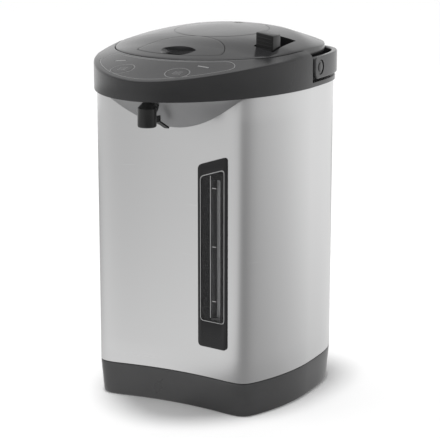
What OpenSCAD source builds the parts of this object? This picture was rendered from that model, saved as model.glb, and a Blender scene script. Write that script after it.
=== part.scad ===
// Electric thermo pot, 5 litres: steel body with an egg-shaped top, air pump, electric pump and bail.
// Millimetres. +Z is up, the spout points to -Y, and the origin is on the floor below the middle of the
// whole. The outlines are drawn about the widest line of the body, and centred() moves every piece.

/* [Body] */
// Width of the steel body
body_w = 210; // [206:1:216]
// Reach of the beak ahead of the widest line
front_reach = 152; // [149:1:158]
// Reach of the back behind the widest line
rear_reach = 99; // [98:1:104]
// Space between the tank and the middle of the hollow front face
face_gap = 7.7; // [7:0.1:11]
// How far the sides of the front face stand ahead of its middle
face_dip = 18; // [15:0.5:20]
// Height of the steel sleeve
steel_h = 275; // [262:1:300]
// Thickness of the steel sleeve
steel_t = 0.8; // [0.6:0.1:1]
// Height of the base with its feet
base_h = 34; // [32:1:38]
// Wall of the base
base_wall = 2.5; // [2:0.1:3]
// Height of a foot below the base
foot_h = 2; // [1.5:0.5:3]
// Radius of a foot
foot_r = 8; // [6:1:10]

/* [Top] */
// How far the collar stands out past the steel
collar_lip = 1.5; // [1:0.1:2]
// Wall of the collar
collar_wall = 2.5; // [2.2:0.1:3]
// Height of the collar at the tip of the beak
rim_front = 19; // [17:1:22]
// Height of the collar at the back
rim_rear = 30; // [29:1:33]
// Rise of the crown above the rim
crown_rise = 20.3; // [18:0.1:23]
// How far the lid stays inside the widest outline
lid_inset = 8; // [8:0.5:9]
// Height of the lid's seat above the lower edge of the collar
seat_h = 24.5; // [24:0.5:26]
// Thickness of the lid cover
lid_t = 3.5; // [3.4:0.1:4]
// Height of the deck around the tank's mouth
deck_h = 6; // [5.5:0.5:7]
// Distance from the lid's edge to the well below it
well_wall = 6; // [5.5:0.5:7]
// Depth of the chin on the front face
chin_depth = 34; // [30:1:36]
// Thickness of the chin cover
chin_t = 2; // [1.6:0.1:2.4]

/* [Tank] */
// Outer radius of the tank
tank_r = 81; // [78:0.5:82]
// Wall of the tank
tank_t = 0.8; // [0.6:0.1:1]
// Underside of the tank above the floor
tank_z = 52; // [51:1:56]
// Radius of the tank's mouth
mouth_r = 68; // [64:1:69]

/* [Lid parts] */
// How far the press plate's front edge stays inside the lid
press_inset = 11; // [10:0.5:13]
// Radius of the press plate's rear edge
press_rear_r = 46; // [44:0.5:48]
// Travel of the press plate
press_travel = 10; // [7:0.5:10]
// Radius of the bellows
bellows_r = 22; // [20:0.5:23]
// Radius of the steam cover
steam_r = 46.5; // [43:0.5:47]
// Width of the release lever
lever_w = 18; // [16:0.5:19]
// Depth of the release lever
lever_d = 24; // [20:0.5:26]
// Radius of the hinge barrel
barrel_r = 5; // [4.5:0.1:5.5]
// Radius of the hinge pin
hinge_pin_r = 2; // [1.5:0.1:2.5]

/* [Handle] */
// Height of the bail's band
band_h = 21.5; // [20:0.5:22]
// Thickness of the bail's band
band_t = 5; // [4:0.5:5]
// Radius of a bail pivot
pivot_r = 4; // [3:0.5:4.5]

/* [Spout and panel] */
// Radius of the nozzle
nozzle_r = 10; // [9:0.5:11]
// Radius of a touch button
button_r = 9.5; // [8:0.5:10]
// Travel of a touch button
button_travel = 0.8; // [0.5:0.1:1]
// Outer radius of the water pipe
pipe_r = 6; // [5.5:0.1:6.2]

/* [Gauge] */
// Width of the gauge panel
gauge_w = 33; // [31:0.5:35]
// Lower edge of the gauge panel above the floor
gauge_low = 65; // [60:1:70]
// Height of the gauge panel at its low upper corner
gauge_h = 177; // [165:1:180]
// Outer radius of the sight tube
tube_r = 4.5; // [4:0.1:5]

/* [Hidden] */

$fn = 64;
fit = 0.3;          // gap between parts that move apart
run = 0.05;         // radial gap between a shaft and its bore
lid_gap = 0.7;      // gap around the lid, which swings up past the collar
eps = 0.01;

// body
half_w = body_w / 2;
front_power = 1.85; // fullness of the egg-shaped outline ahead of the widest line
rear_power = 3.6;   // fullness behind it
corner_power = 15;  // sharpness of the body's front corners
seam_z = base_h;
top_z = base_h + steel_h;
deck_z = top_z + deck_h;
seat_z = top_z + seat_h;
lid_r = half_w - lid_inset;
tank_y = 4;         // the tank stands this far behind the widest line
face_reach = tank_r - tank_y + face_gap;
tank_low = tank_z;

// base
base_rings = [[0, 10], [1.5, 7.5], [4, 5.2], [8, 3.5], [14, 2], [22, 0.8]]; // height above foot_h, inset
plate_z = foot_h + 0.2;
plate_top = plate_z + 2.5;
plate_inset = base_rings[0][1] + 1;
boss_x = half_w - 23;
boss_places = [[boss_x, -50], [-boss_x, -50], [boss_x, 60], [-boss_x, 60]];
boss_r = 4.5;
screw_r = 1.6;
foot_places = [[56, -60], [-56, -60], [62, 66], [-62, 66]];
foot_stem_r = 3;
lip_h = 6;
socket_z = 19;
socket_w = 30;
socket_h = 18;
socket_back = rear_reach - 3.6;
socket_front = socket_back - 19.4;
pin_gap = 6;

// gauge
gauge_x = 45;
gauge_lo_x = gauge_x - gauge_w / 2;
gauge_hi_x = gauge_x + gauge_w / 2;
gauge_slant = 11;   // the top edge rises this much towards the side
gauge_rise = 1.2;   // how far the panel stands out of the face
tube_x = gauge_x + 3.5;
tube_y = face_y(tube_x) + steel_t + 6 + tube_r;
slot_lo = gauge_low + 27;
slot_hi = gauge_low + gauge_h - 8;
tray_half = tube_r + 2.5;
tube_low = slot_lo - 12;
tube_high = slot_hi + 8;
hose_wall = 1.5;
tube_bore = tube_r - 1.2;

// tank and heaters
flange_z = top_z + 1;
stub_r = 5.5;
stub_bore = 4;
heater_r = 50;
wrap_t = 3;

// electric pump
outlet = [44, tube_y + 37.24];
motor_r = 16;
motor_h = 13;
motor_z = plate_top + 3;
pump_z = motor_z + motor_h;
pump_r = 20;
pump_h = 17;
rotor_r = 13;
pump_out_z = pump_z + pump_h / 2;
pump_pin_r = 1.5;
bend = 7.5;

// spout
pipe_z = top_z - 11;
pipe_bore = pipe_r - 2;
nozzle_y = -front_reach + 20.7;
nozzle_h = 17.5;
nozzle_top = top_z - 10;
cone_h = 7;
cup_y = nozzle_y + 13.8;
cup_z = top_z - 20.5;
cup_arm_x = 7;
cup_arm_t = 2.2;
hub_r = 2.6;
cup_pin_r = 1;
switch_y = cup_y - 5;
pipe_end_y = nozzle_y + 34;
hose_turn = atan2(pipe_end_y - tube_y, -tube_x);
hose_run = norm([tube_x, pipe_end_y - tube_y]);
chin_x = 76;        // half width of the chin on the face

// collar and panel
deck_hold = 3;      // the collar's wall holds the deck down over this width
channel_y = -1.5;
channel_z = top_z + 4.6;
hinge_y = rear_reach - 23;
hinge_z = top_z + rim_rear + 8;
hinge_half = 30;
knuckle = 10;
board_z = top_z + 12;
board_t = 1.6;
board_rear = -lid_r - 9;
board_front = -front_reach + 16;
board_posts = [[-20, board_rear - 6], [20, board_rear - 6], [-17, board_front + 2], [17, board_front + 2]];
board_screw_r = 1.2;
film_edge = 4;      // the film stays this far inside the front rim
film_gap = 4.5;     // and this far ahead of the lid's edge
film_half = 36.5;   // half of the angle that it spans
film_t = 0.8;
film_centre = [0, -lid_r - 27];
button_places = [[-29, -front_reach + 26], [29, -front_reach + 26]];
lens_places = [[-44, -lid_r - 7.5], [44, -lid_r - 7.5]];
lens_w = 12;
lens_d = 3;
switch_h = 4.3;

// bail
pivot_y = 13.5;
pivot_z = top_z + 18;
band_out = half_w + 3;
band_in = band_out - band_t;
band_low = pivot_z - band_h / 2;
ear_front = pivot_y - 11.5;
pivot_head_r = pivot_r + 2.6;
dimple = 1.4;

// lid
lid_low = seat_z + 0.4;
press_centre = [0, -60];
press_front_r = lid_r - press_inset;
press_rear_c = -32 - press_rear_r;
guide_low = seat_z - 8.5;
hub_z = top_z + 27;
steam_y = 14.5;
vent_y = steam_y + 36;
vent_r = 6;
liner_z = deck_z + 4;
liner_t = 2.5;
bellows_low = liner_z + liner_t;
valve_r = 4;
liner_posts = concat([for (p = [[-52, 40], [52, 40]]) p * mouth_r / 68],
    [for (p = [[-70, -36], [55, -62]]) p * lid_r / 97]);
seal_in = mouth_r + 0.8;

// release lever
lever_x0 = 62;
lever_front = -34;
lever_y = -22;
lever_z = top_z + 31;
lever_top = top_z + 54;
lever_turn = 22;
lever_pin_r = 1.5;
tray_z = lever_z - 4;
tray_x0 = lever_x0 - 1.5;
tray_y0 = lever_front - 2;
tray_w = lever_w + 3;
tray_len = 49;
keeper_x = 74;
keeper_y = -9;
keeper_w = 6;

// the widest line stands this far behind the middle of the whole
mid_y = (front_reach + collar_lip - rear_reach - (band_out - half_w)) / 2;

// ---- outlines, as a radius for each direction about the widest line ----
function polar(a, r) = [r * cos(a), r * sin(a)];
function super_r(a, w, l, n) = 1 / pow(pow(abs(cos(a)) / w, n) + pow(abs(sin(a)) / l, n), 1 / n);
function oval_r(a, grow) =
    sin(a) > 0 ? super_r(a, half_w + grow, rear_reach + grow, rear_power)
               : super_r(a, half_w + grow, front_reach + grow, front_power);
function lid_outline_r(a, inset) =
    sin(a) > 0 ? super_r(a, lid_r - inset, rear_reach - lid_inset - inset, rear_power) : lid_r - inset;
function face_y(x) = -face_reach - face_dip * pow(x / half_w, 2);
function face_r(a, grow) =
    let(u = -sin(a), bend = face_dip * pow(cos(a) / half_w, 2), reach = face_reach + grow,
        q = u * u - 4 * bend * reach)
    u <= 0 || q < 0 ? 10 * half_w : 2 * reach / (u + sqrt(q));
function blend_r(r1, r2, power) = pow(pow(r1, -power) + pow(r2, -power), -1 / power);
function body_r(a, grow) = blend_r(oval_r(a, grow), face_r(a, grow), corner_power);
function circle_ray(a, from, centre, r) =
    let(d = centre - from, along = d * [cos(a), sin(a)])
    along + sqrt(along * along - d * d + r * r);

function angles(n) = [for (i = [0:n - 1]) 360 * i / n];
// closer together where the outline bends most
oval_angles = concat([for (i = [0:32]) 5.625 * i], [for (i = [1:9]) 180 + 6.5 * i],
    [for (i = [0:14]) 242 + 4 * i], [for (i = [9:-1:1]) 360 - 6.5 * i]);
body_angles = concat([for (i = [0:32]) 5.625 * i], [for (i = [1:7]) 180 + 5.9 * i],
    [for (i = [0:8]) 224 + 2 * i], [for (i = [1:8]) 240 + 60 * i / 9], [for (i = [0:8]) 300 + 2 * i],
    [for (i = [7:-1:1]) 360 - 5.9 * i]);
function oval_path(grow) = [for (a = oval_angles) polar(a, oval_r(a, grow))];
function body_path(grow) = [for (a = body_angles) polar(a, body_r(a, grow))];
function lid_path(inset) = [for (a = angles(96)) polar(a, lid_outline_r(a, inset))];
function round_path(centre, r) = [for (a = angles(48)) centre + polar(a, r)];

// ---- the crown: height of the top surface above the collar's lower edge ----
rim_bend_y = -28;
rim_span = 124;
function rim_h(y) =
    y < rim_bend_y ? rim_rear - (rim_rear - rim_front) * pow((rim_bend_y - y) / rim_span, 2) : rim_rear;
function oval_ratio(p) = norm(p) < eps ? 0 : norm(p) / oval_r(atan2(p[1], p[0]), 0);
function crown_z(p) =
    top_z + rim_h(p[1]) + 1.9 * min(max((p[1] - rim_bend_y) / rim_span, 0), 1)
    + (crown_rise + 0.11 * p[1]) * (1 - pow(min(oval_ratio(p), 1), 2.07));

// ---- solids through stacked rings of points ----
// A flat end is a fan of triangles. Its middle stands a little off centre, so that no corner of another
// outline about the same centre falls on an edge of the fan.
fan_off = [5, 3];
module stack(rings, low, high) {
    n = len(rings[0]);
    k = len(rings);
    points = concat([for (r = rings) each r], [low, high]);
    bottom = [for (i = [0:n - 1]) [k * n, i, (i + 1) % n]];
    side = [for (r = [0:k - 2]) for (i = [0:n - 1])
        let(a = r * n + i, b = r * n + (i + 1) % n) each [[a, a + n, b], [b, a + n, b + n]]];
    top = [for (i = [0:n - 1]) [(k - 1) * n + i, k * n + 1, (k - 1) * n + (i + 1) % n]];
    polyhedron(points = points, faces = concat(bottom, side, top));
}
function lift(path, z) = [for (p = path) [p[0], p[1], z]];
function on_crown(path, centre, s, drop) =
    [for (p = path) let(q = centre + s * (p - centre)) [q[0], q[1], crown_z(q) - drop]];

// everything below the crown surface, down to floor_z
module crown_block(grow, drop, floor_z) {
    path = oval_path(grow);
    rings = concat([lift(path, floor_z)],
        [for (s = [1, 0.96, 0.89, 0.78, 0.62, 0.42, 0.2]) on_crown(path, [0, 0], s, drop)]);
    stack(rings, [fan_off[0], fan_off[1], floor_z], [0, 0, crown_z([0, 0]) - drop]);
}
// a plate that follows the crown, between two depths below it
module crown_plate(path, centre, top_drop, low_drop) {
    steps = [0.25, 0.6, 1];
    rings = concat([for (s = steps) on_crown(path, centre, s, low_drop)],
        [for (i = [len(steps) - 1:-1:0]) on_crown(path, centre, steps[i], top_drop)]);
    middle = crown_z(centre);
    stack(rings, [centre[0], centre[1], middle - low_drop], [centre[0], centre[1], middle - top_drop]);
}
module prism(path, z, h) {
    translate([0, 0, z]) linear_extrude(h) polygon(path);
}
module rod_x(r, x, y, z, length) {
    translate([x, y, z]) rotate([0, 90, 0]) cylinder(r = r, h = length);
}
module rod_y(r, x, y, z, length) {
    translate([x, y, z]) rotate([-90, 0, 0]) cylinder(r = r, h = length);
}
module tube(r_out, r_in, z, h) {
    translate([0, 0, z]) difference() {
        cylinder(r = r_out, h = h);
        translate([0, 0, -1]) cylinder(r = r_in, h = h + 2);
    }
}
// a bent piece of hose: a quarter ring about the Y axis at the origin, from +X towards +Z
module elbow(bend, r_out, r_in) {
    rotate([90, 0, 0]) rotate_extrude(angle = 90) translate([bend, 0]) difference() {
        circle(r = r_out);
        circle(r = r_in);
    }
}
// a coil spring standing on its lower end
module coil(r, wire, h, turns) {
    steps = 12;
    sides = 6;
    count = turns * steps;
    ring = [for (i = [0:count]) let(a = 360 * i / steps, z = wire + (h - 2 * wire) * i / count)
        [for (j = [0:sides - 1]) let(q = r + wire * cos(360 * j / sides))
            [q * cos(a), q * sin(a), z + wire * sin(360 * j / sides)]]];
    stack([for (s = ring) [for (j = [sides - 1:-1:0]) s[j]]], [r, 0, wire],
        [r * cos(360 * turns), r * sin(360 * turns), h - wire]);
}
function corner(a, p, b, n) =
    [for (i = [0:n]) let(t = i / n) (1 - t) * (1 - t) * a + 2 * t * (1 - t) * p + t * t * b];

module centred() {
    translate([0, mid_y, 0]) children();
}

// ---- base ----
module base_outer(inset, low, high) {
    rings = concat([for (r = base_rings) lift(body_path(-r[1] - inset), foot_h + r[0] + low)],
        [lift(body_path(-inset), high)]);
    stack(rings, [fan_off[0], fan_off[1], foot_h + low], [fan_off[0], fan_off[1], high]);
}
module base_shell() {
    centred() color([0.2, 0.2, 0.21]) difference() {
        union() {
            difference() {
                union() {
                    base_outer(0, 0, seam_z);
                    prism(body_path(-steel_t - fit), seam_z - 1, lip_h + 1);
                }
                base_outer(base_wall, -1, seam_z + lip_h + 1);
            }
            intersection() {
                base_outer(base_wall / 2, 0, tank_low);
                union() {
                    for (p = boss_places) translate([p[0], p[1], plate_top]) {
                        cylinder(r = boss_r, h = 14);
                        mirror([p[0] < 0 ? 1 : 0, 0, 0]) translate([boss_r - 1, -1.5, 0]) cube([16, 3, 6]);
                    }
                    translate([0, tank_y, 0]) for (a = [0, 60, 120, 180, 240, 290]) rotate(a) {
                        translate([tank_r - 9, -1.5, 20]) cube([half_w, 3, seam_z - 20 + lip_h]);
                        translate([tank_r - 9, -1.5, 20]) cube([8, 3, tank_low - 20]);
                    }
                }
            }
        }
        for (p = boss_places) translate([p[0], p[1], plate_top - 1]) cylinder(r = screw_r, h = 13);
        translate([-socket_w / 2 - fit, rear_reach - 14, socket_z - socket_h / 2 - fit])
            cube([socket_w + 2 * fit, 30, socket_h + 2 * fit]);
    }
}
module bottom_plate() {
    centred() color([0.25, 0.25, 0.26]) difference() {
        prism(body_path(-plate_inset), plate_z, plate_top - plate_z);
        for (p = boss_places) translate([p[0], p[1], 0]) cylinder(r = screw_r + 0.1, h = 20);
        for (p = foot_places) translate([p[0], p[1], 0]) cylinder(r = foot_stem_r + run, h = 20);
        for (x = [-40:10:0]) translate([x - 2, -60, 0]) cube([4, 18, 20]);
    }
}
module feet() {
    centred() color([0.1, 0.1, 0.1]) for (p = foot_places) translate([p[0], p[1], 0]) {
        cylinder(r = foot_r - 0.6, h = 0.6);
        translate([0, 0, 0.6]) cylinder(r = foot_r, h = plate_z - 0.6);
        cylinder(r = foot_stem_r, h = plate_top + 0.6);
        translate([0, 0, plate_top + eps]) cylinder(r = foot_stem_r + 0.5, h = 0.8);
    }
}
module bottom_screws() {
    centred() color([0.7, 0.7, 0.7]) for (p = boss_places) translate([p[0], p[1], 0]) {
        translate([0, 0, plate_z - 1.2]) cylinder(r = 3, h = 1.2);
        translate([0, 0, plate_z - 0.5]) cylinder(r = screw_r - run, h = 11);
    }
}

// ---- steel body and front ----
module outer_shell() {
    centred() color([0.75, 0.75, 0.76]) difference() {
        prism(body_path(0), seam_z, steel_h);
        prism(body_path(-steel_t), seam_z - 1, steel_h + 2);
        // way for the hose and the pipe, behind the chin
        translate([-4, -half_w - 20, pipe_z - pipe_r - 1]) cube([tube_x + 1.5, 60, 60]);
        translate([tube_x - tray_half - fit, -half_w - 20, slot_lo - fit])
            cube([2 * (tray_half + fit), 60, slot_hi - slot_lo + 2 * fit]);
    }
}
function chin_low(x) = chin_depth * pow(max(1 - pow(x / (chin_x + 4), 2), 0), 1.15);
function beak_y(x) = -(front_reach - 1.3) * pow(1 - pow(abs(x) / (half_w - 1.3), front_power), 1 / front_power);
function chin_row(x, rise) =
    [for (t = [0, 0.12, 0.28, 0.46, 0.64, 0.82, 1])
        let(y0 = face_y(x) - fit / 2, y1 = beak_y(x)) [x, y0 + t * (y1 - y0), top_z - chin_low(x) * pow(1 - t, 2) + rise]];
module chin_cover() {
    xs = [for (i = [-12:12]) chin_x * (i / 12)];
    rings = [for (x = xs) let(low = chin_row(x, 0), high = chin_row(x, chin_t))
        concat(low, [for (i = [len(high) - 1:-1:0]) high[i]])];
    ends = [for (x = [-chin_x, chin_x]) let(r = chin_row(x, chin_t / 2)) r[3]];
    centred() color([0.6, 0.6, 0.61]) difference() {
        stack(rings, ends[0], ends[1]);
        translate([0, nozzle_y, top_z - 60]) cylinder(r = nozzle_r + fit + 0.2, h = 70);
        translate([-pipe_r - 0.4, nozzle_y, top_z - 60]) cube([2 * pipe_r + 0.8, 32, 70]);
        translate([-cup_arm_x - cup_arm_t - 0.8, cup_y - 5, top_z - 60]) cube([cup_arm_t + 1.6, 11, 70]);
    }
}

// ---- level gauge ----
function gauge_outline(dx, low, high) =
    let(x0 = gauge_lo_x + dx, x1 = gauge_hi_x - dx, z0 = gauge_low + low, z1 = gauge_low + gauge_h - high,
        rise = gauge_slant * (x1 - x0) / gauge_w, r = 3.5)
    concat(corner([x0, z0 + r], [x0, z0], [x0 + r, z0], 6), corner([x1 - r, z0], [x1, z0], [x1, z0 + r], 6),
        corner([x1, z1 + rise - r], [x1, z1 + rise], [x1 - r, z1 + rise - r * rise / (x1 - x0)], 6),
        corner([x0 + r, z1 + r * rise / (x1 - x0)], [x0, z1], [x0, z1 - r], 6));
// the slice of space between two distances ahead of the front face
module face_slab(back, front) {
    xs = [for (i = [0:10]) gauge_lo_x - 2 + (gauge_w + 4) * (i / 10)];
    linear_extrude(top_z) polygon(concat([for (x = xs) [x, face_y(x) - front]],
        [for (i = [10:-1:0]) [xs[i], face_y(xs[i]) - back]]));
}
module gauge_plate(outline, back, front) {
    intersection() {
        face_slab(back, front);
        translate([0, -50, 0]) rotate([90, 0, 0]) linear_extrude(80) polygon(outline);
    }
}
module gauge_panel() {
    centred() color([0.18, 0.18, 0.19]) difference() {
        gauge_plate(gauge_outline(0, 0, 0), 0.06, gauge_rise);
        gauge_plate(gauge_outline(3.5, 26, 11), 0.5, 5);
        translate([tube_x - tube_r - 1, -half_w - 20, slot_lo]) cube([2 * tube_r + 2, 60, slot_hi - slot_lo - 4]);
    }
}
module gauge_window() {
    centred() color([0.5, 0.55, 0.58, 0.35]) gauge_plate(gauge_outline(3.7, 26.2, 11.2), 0.5, gauge_rise - 0.05);
}
module gauge_backing() {
    front_y = face_y(tube_x - tray_half - 3) + steel_t + 0.1;
    depth = tube_y + tube_r + 3 - front_y;
    centred() color([0.12, 0.12, 0.12]) difference() {
        union() {
            translate([tube_x - tray_half, front_y, slot_lo]) cube([2 * tray_half, depth, slot_hi - slot_lo]);
            translate([tube_x - tray_half - 3, front_y, slot_lo]) cube([2 * tray_half + 6, 1.2, slot_hi - slot_lo]);
        }
        translate([tube_x - tray_half + 1.5, front_y - 5, slot_lo + 2])
            cube([2 * tray_half - 3, depth + 3.5, slot_hi - slot_lo - 4]);
        translate([tube_x, tube_y, 0]) cylinder(r = tube_r + run, h = top_z);
    }
}
module sight_tube() {
    centred() color([0.75, 0.8, 0.82, 0.5]) translate([tube_x, tube_y, 0])
        tube(tube_r, tube_bore, tube_low, tube_high - tube_low);
}

// ---- tank ----
module inner_tank() {
    centred() color([0.8, 0.8, 0.82]) difference() {
        union() {
            translate([0, tank_y, tank_z]) cylinder(r = tank_r, h = flange_z - tank_z + 1);
            translate([0, tank_y, flange_z]) cylinder(r = tank_r + 2.5, h = 1);
            translate([outlet[0], outlet[1], tank_z - 6]) cylinder(r = stub_r, h = 7);
        }
        translate([0, tank_y, tank_z + tank_t]) cylinder(r = tank_r - tank_t, h = steel_h);
        translate([outlet[0], outlet[1], tank_z - 10]) cylinder(r = stub_bore, h = 20);
    }
}
module tank_gasket() {
    centred() color([0.85, 0.85, 0.8]) translate([0, tank_y, 0])
        tube(tank_r + 2.5, tank_r - 4, flange_z + 1, deck_z - 3 - flange_z - 1);
}
module insulation_wrap() {
    centred() color([0.9, 0.88, 0.8]) translate([0, tank_y, 0]) difference() {
        tube(tank_r + fit + wrap_t, tank_r + fit, tank_z + 24, top_z - tank_z - 42);
        translate([10, -tank_r - 20, 0]) cube([60, 40, top_z]);
    }
}
module heater_plate() {
    centred() color([0.5, 0.5, 0.52]) translate([0, tank_y, 0]) {
        translate([0, 0, tank_z - 3]) cylinder(r = heater_r, h = 3);
        translate([0, 0, tank_z - 5]) rotate_extrude(angle = 330) translate([heater_r - 12, 0]) circle(r = 3, $fn = 32);
        for (a = [0, 330]) rotate(a) translate([heater_r - 12, 0, tank_z - 17]) cylinder(r = 2, h = 12);
    }
}
module band_heater() {
    centred() color([0.62, 0.5, 0.35]) translate([0, tank_y, 0]) difference() {
        tube(tank_r + fit + 1.5, tank_r + fit, tank_z + 4, 16);
        rotate(-125) translate([tank_r - 5, -6, 0]) cube([12, 12, top_z]);
    }
}
module thermostats() {
    centred() color([0.75, 0.7, 0.6]) for (x = [-16, 16]) translate([x, tank_y, tank_z - 3]) mirror([0, 0, 1]) {
        cylinder(r = 8, h = 6);
        translate([0, 0, 6]) cylinder(r = 5, h = 3);
        for (s = [-1, 1]) translate([s * 3 - 0.4, -1.5, 9]) cube([0.8, 3, 5]);
    }
}

// ---- electric pump ----
module at_pump() {
    translate([outlet[0], outlet[1], 0]) children();
}
module pump_pad() {
    centred() color([0.1, 0.1, 0.1]) at_pump() tube(motor_r + 1, 9, plate_top, motor_z - plate_top);
}
module pump_motor() {
    centred() color([0.6, 0.6, 0.62]) at_pump() {
        translate([0, 0, motor_z]) cylinder(r = motor_r, h = motor_h);
        for (s = [-1, 1]) translate([s * 5 - 0.5, -1.5, motor_z - 2.5]) cube([1, 3, 3]);
    }
}
module pump_housing() {
    centred() color([0.85, 0.85, 0.83]) difference() {
        union() {
            at_pump() {
                translate([0, 0, pump_z]) cylinder(r = pump_r, h = pump_h);
                translate([0, 0, pump_z + pump_h - 1]) cylinder(r = stub_r, h = 8);
            }
            rod_y(tube_r, tube_x, tube_y + bend + 3, pump_out_z, outlet[1] - tube_y - bend - 3);
        }
        at_pump() {
            translate([0, 0, pump_z + 3]) cylinder(r = rotor_r + 2, h = pump_h - 6);
            translate([0, 0, pump_z + pump_h - 4]) cylinder(r = stub_bore, h = 20);
            translate([0, 0, pump_z + 1]) cylinder(r = pump_pin_r, h = 3);
        }
        rod_y(tube_bore, tube_x, tube_y, pump_out_z, outlet[1] - tube_y);
    }
}
module impeller_pin() {
    centred() color([0.8, 0.8, 0.82]) at_pump() translate([0, 0, pump_z + 1]) cylinder(r = pump_pin_r, h = pump_h - 6);
}
module pump_impeller() {
    centred() color([0.9, 0.9, 0.9]) at_pump() difference() {
        union() {
            translate([0, 0, pump_z + 3 + fit]) cylinder(r = rotor_r, h = 3);
            translate([0, 0, pump_z + 4]) cylinder(r = 4, h = pump_h - 10);
            for (a = [0:60:300]) rotate(a) translate([3, -0.6, pump_z + 6]) cube([rotor_r - 4, 1.2, pump_h - 12]);
        }
        cylinder(r = pump_pin_r + run, h = pump_z + pump_h);
    }
}
module inlet_hose() {
    centred() color([0.85, 0.85, 0.85]) at_pump()
        tube(stub_r + 2, stub_r, pump_z + pump_h + 1, tank_z - pump_z - pump_h - 2);
}
hose_r = tube_r + hose_wall;
hose_in = tube_r + 0.1;
module lower_hose() {
    centred() color([0.85, 0.85, 0.85]) translate([tube_x, tube_y, 0]) {
        translate([0, 0, pump_out_z]) difference() {
            rod_y(hose_r, 0, bend, 0, 9);
            rod_y(hose_in, 0, bend - 1, 0, 12);
        }
        translate([0, bend, pump_out_z + bend]) rotate(90) rotate([0, 180, 0]) elbow(bend, hose_r, hose_in);
        tube(hose_r, hose_in, pump_out_z + bend, tube_low + 8 - pump_out_z - bend);
    }
}
// the upper hose climbs from the sight tube, turns level and runs slantwise to the spout pipe
module upper_hose() {
    centred() color([0.85, 0.85, 0.85]) translate([tube_x, tube_y, 0]) rotate(hose_turn) {
        tube(hose_r, hose_in, slot_hi + fit, pipe_z - bend - slot_hi - fit);
        translate([bend, 0, pipe_z - bend]) mirror([1, 0, 0]) elbow(bend, hose_r, hose_in);
        translate([bend, 0, pipe_z]) rotate([0, 90, 0]) tube(hose_r, hose_in, 0, hose_run - bend - pipe_r - 2);
    }
}

// ---- spout ----
module spout_pipe() {
    centred() color([0.16, 0.16, 0.17]) difference() {
        union() {
            rod_y(pipe_r - 0.1, 0, nozzle_y, pipe_z, pipe_end_y - nozzle_y + 6);
            translate([0, pipe_end_y, pipe_z]) rotate(hose_turn + 180) rotate([0, 90, 0]) cylinder(r = tube_r, h = 14);
            translate([0, nozzle_y, nozzle_top - nozzle_h + 3])
                cylinder(r = pipe_r, h = pipe_z + pipe_r - nozzle_top + nozzle_h - 3);
        }
        rod_y(pipe_bore - 0.1, 0, nozzle_y, pipe_z, pipe_end_y - nozzle_y + 1);
        translate([0, pipe_end_y, pipe_z]) rotate(hose_turn + 180) rotate([0, 90, 0]) cylinder(r = pipe_bore - 1, h = 20);
        translate([0, nozzle_y, nozzle_top - nozzle_h]) cylinder(r = pipe_bore, h = nozzle_h - 1);
    }
}
module spout_nozzle() {
    centred() color([0.13, 0.13, 0.14]) difference() {
        union() {
            translate([0, nozzle_y, nozzle_top - nozzle_h + 1]) cylinder(r = nozzle_r, h = nozzle_h - 1);
            translate([0, nozzle_y, nozzle_top - nozzle_h]) cylinder(r1 = nozzle_r - 1, r2 = nozzle_r, h = 1);
            translate([0, nozzle_y, nozzle_top]) cylinder(r1 = nozzle_r, r2 = nozzle_r - 3, h = cone_h);
            for (x = [-5.6, 3.2]) translate([x, nozzle_y + 6, cup_z - 3]) cube([2.4, cup_y + 1.7 - nozzle_y - 6, 6]);
        }
        translate([0, nozzle_y, nozzle_top - nozzle_h - 1])
            cylinder(r = pipe_r + 0.1, h = pipe_z + pipe_r - nozzle_top + nozzle_h + 1.1);
        rod_y(pipe_r + 0.1, 0, nozzle_y, pipe_z, 30);
        rod_x(cup_pin_r + run, -8, cup_y, cup_z, 16);
    }
}
module cup_lever() {
    arm_x = -cup_arm_x - cup_arm_t;
    centred() color([0.05, 0.05, 0.05]) difference() {
        union() {
            rod_x(hub_r, -2.9, cup_y, cup_z, 5.8);
            translate([-2.5, cup_y, cup_z]) rotate([-27, 0, 0]) translate([0, 0, -1.6]) cube([5, 25.5, 1.6]);
            // a bar behind the pivot ears carries the arm that works the switch
            translate([arm_x, cup_y + 2.3, cup_z - 3.4]) cube([cup_arm_x + cup_arm_t + 2.5, 2, 2.6]);
            translate([arm_x, cup_y - 1.5, cup_z - 3.4]) cube([cup_arm_t, 5.8, 3.4]);
            translate([arm_x, cup_y - 1.5, cup_z - 1]) cube([cup_arm_t, 3.5, top_z + 4 - cup_z]);
        }
        rod_x(cup_pin_r + run, -20, cup_y, cup_z, 40);
    }
}
module cup_lever_pin() {
    centred() color([0.8, 0.8, 0.8]) rod_x(cup_pin_r, -5.6, cup_y, cup_z, 11.2);
}
module cup_switch() {
    centred() color([0.1, 0.1, 0.1]) {
        translate([-13, switch_y - 7, top_z + 0.5]) cube([7, 7, 6]);
        translate([-9.1, switch_y - 1, top_z + 1.2]) cube([2, 2, 1.6]);
        translate([-13, switch_y - 7, top_z + 5]) cube([7, 3, board_z - top_z - 5]);
    }
}

// ---- collar ----
function film_front(a, g) = polar(a, oval_r(a, -film_edge + g));
function film_rear(a, g) = polar(a, lid_r + film_gap - g);
function film_path(g) =
    let(a0 = 270 - film_half, a1 = 270 + film_half, side = g / lid_r * 57.3, lo = a0 - side, hi = a1 + side,
        low_mid = (film_front(lo, g) + film_rear(lo, g)) / 2, high_mid = (film_front(hi, g) + film_rear(hi, g)) / 2)
    concat([for (i = [0:16]) film_front(lo + 5 + (hi - lo - 10) * i / 16, g)],
        corner(film_front(hi - 5, g), film_front(hi, g), high_mid, 5),
        corner(high_mid, film_rear(hi, g), film_rear(hi - 5, g), 5),
        [for (i = [1:15]) film_rear(hi - 5 - (hi - lo - 10) * i / 16, g)],
        corner(film_rear(lo + 5, g), film_rear(lo, g), low_mid, 5),
        corner(low_mid, film_front(lo, g), film_front(lo + 5, g), 4));

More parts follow.
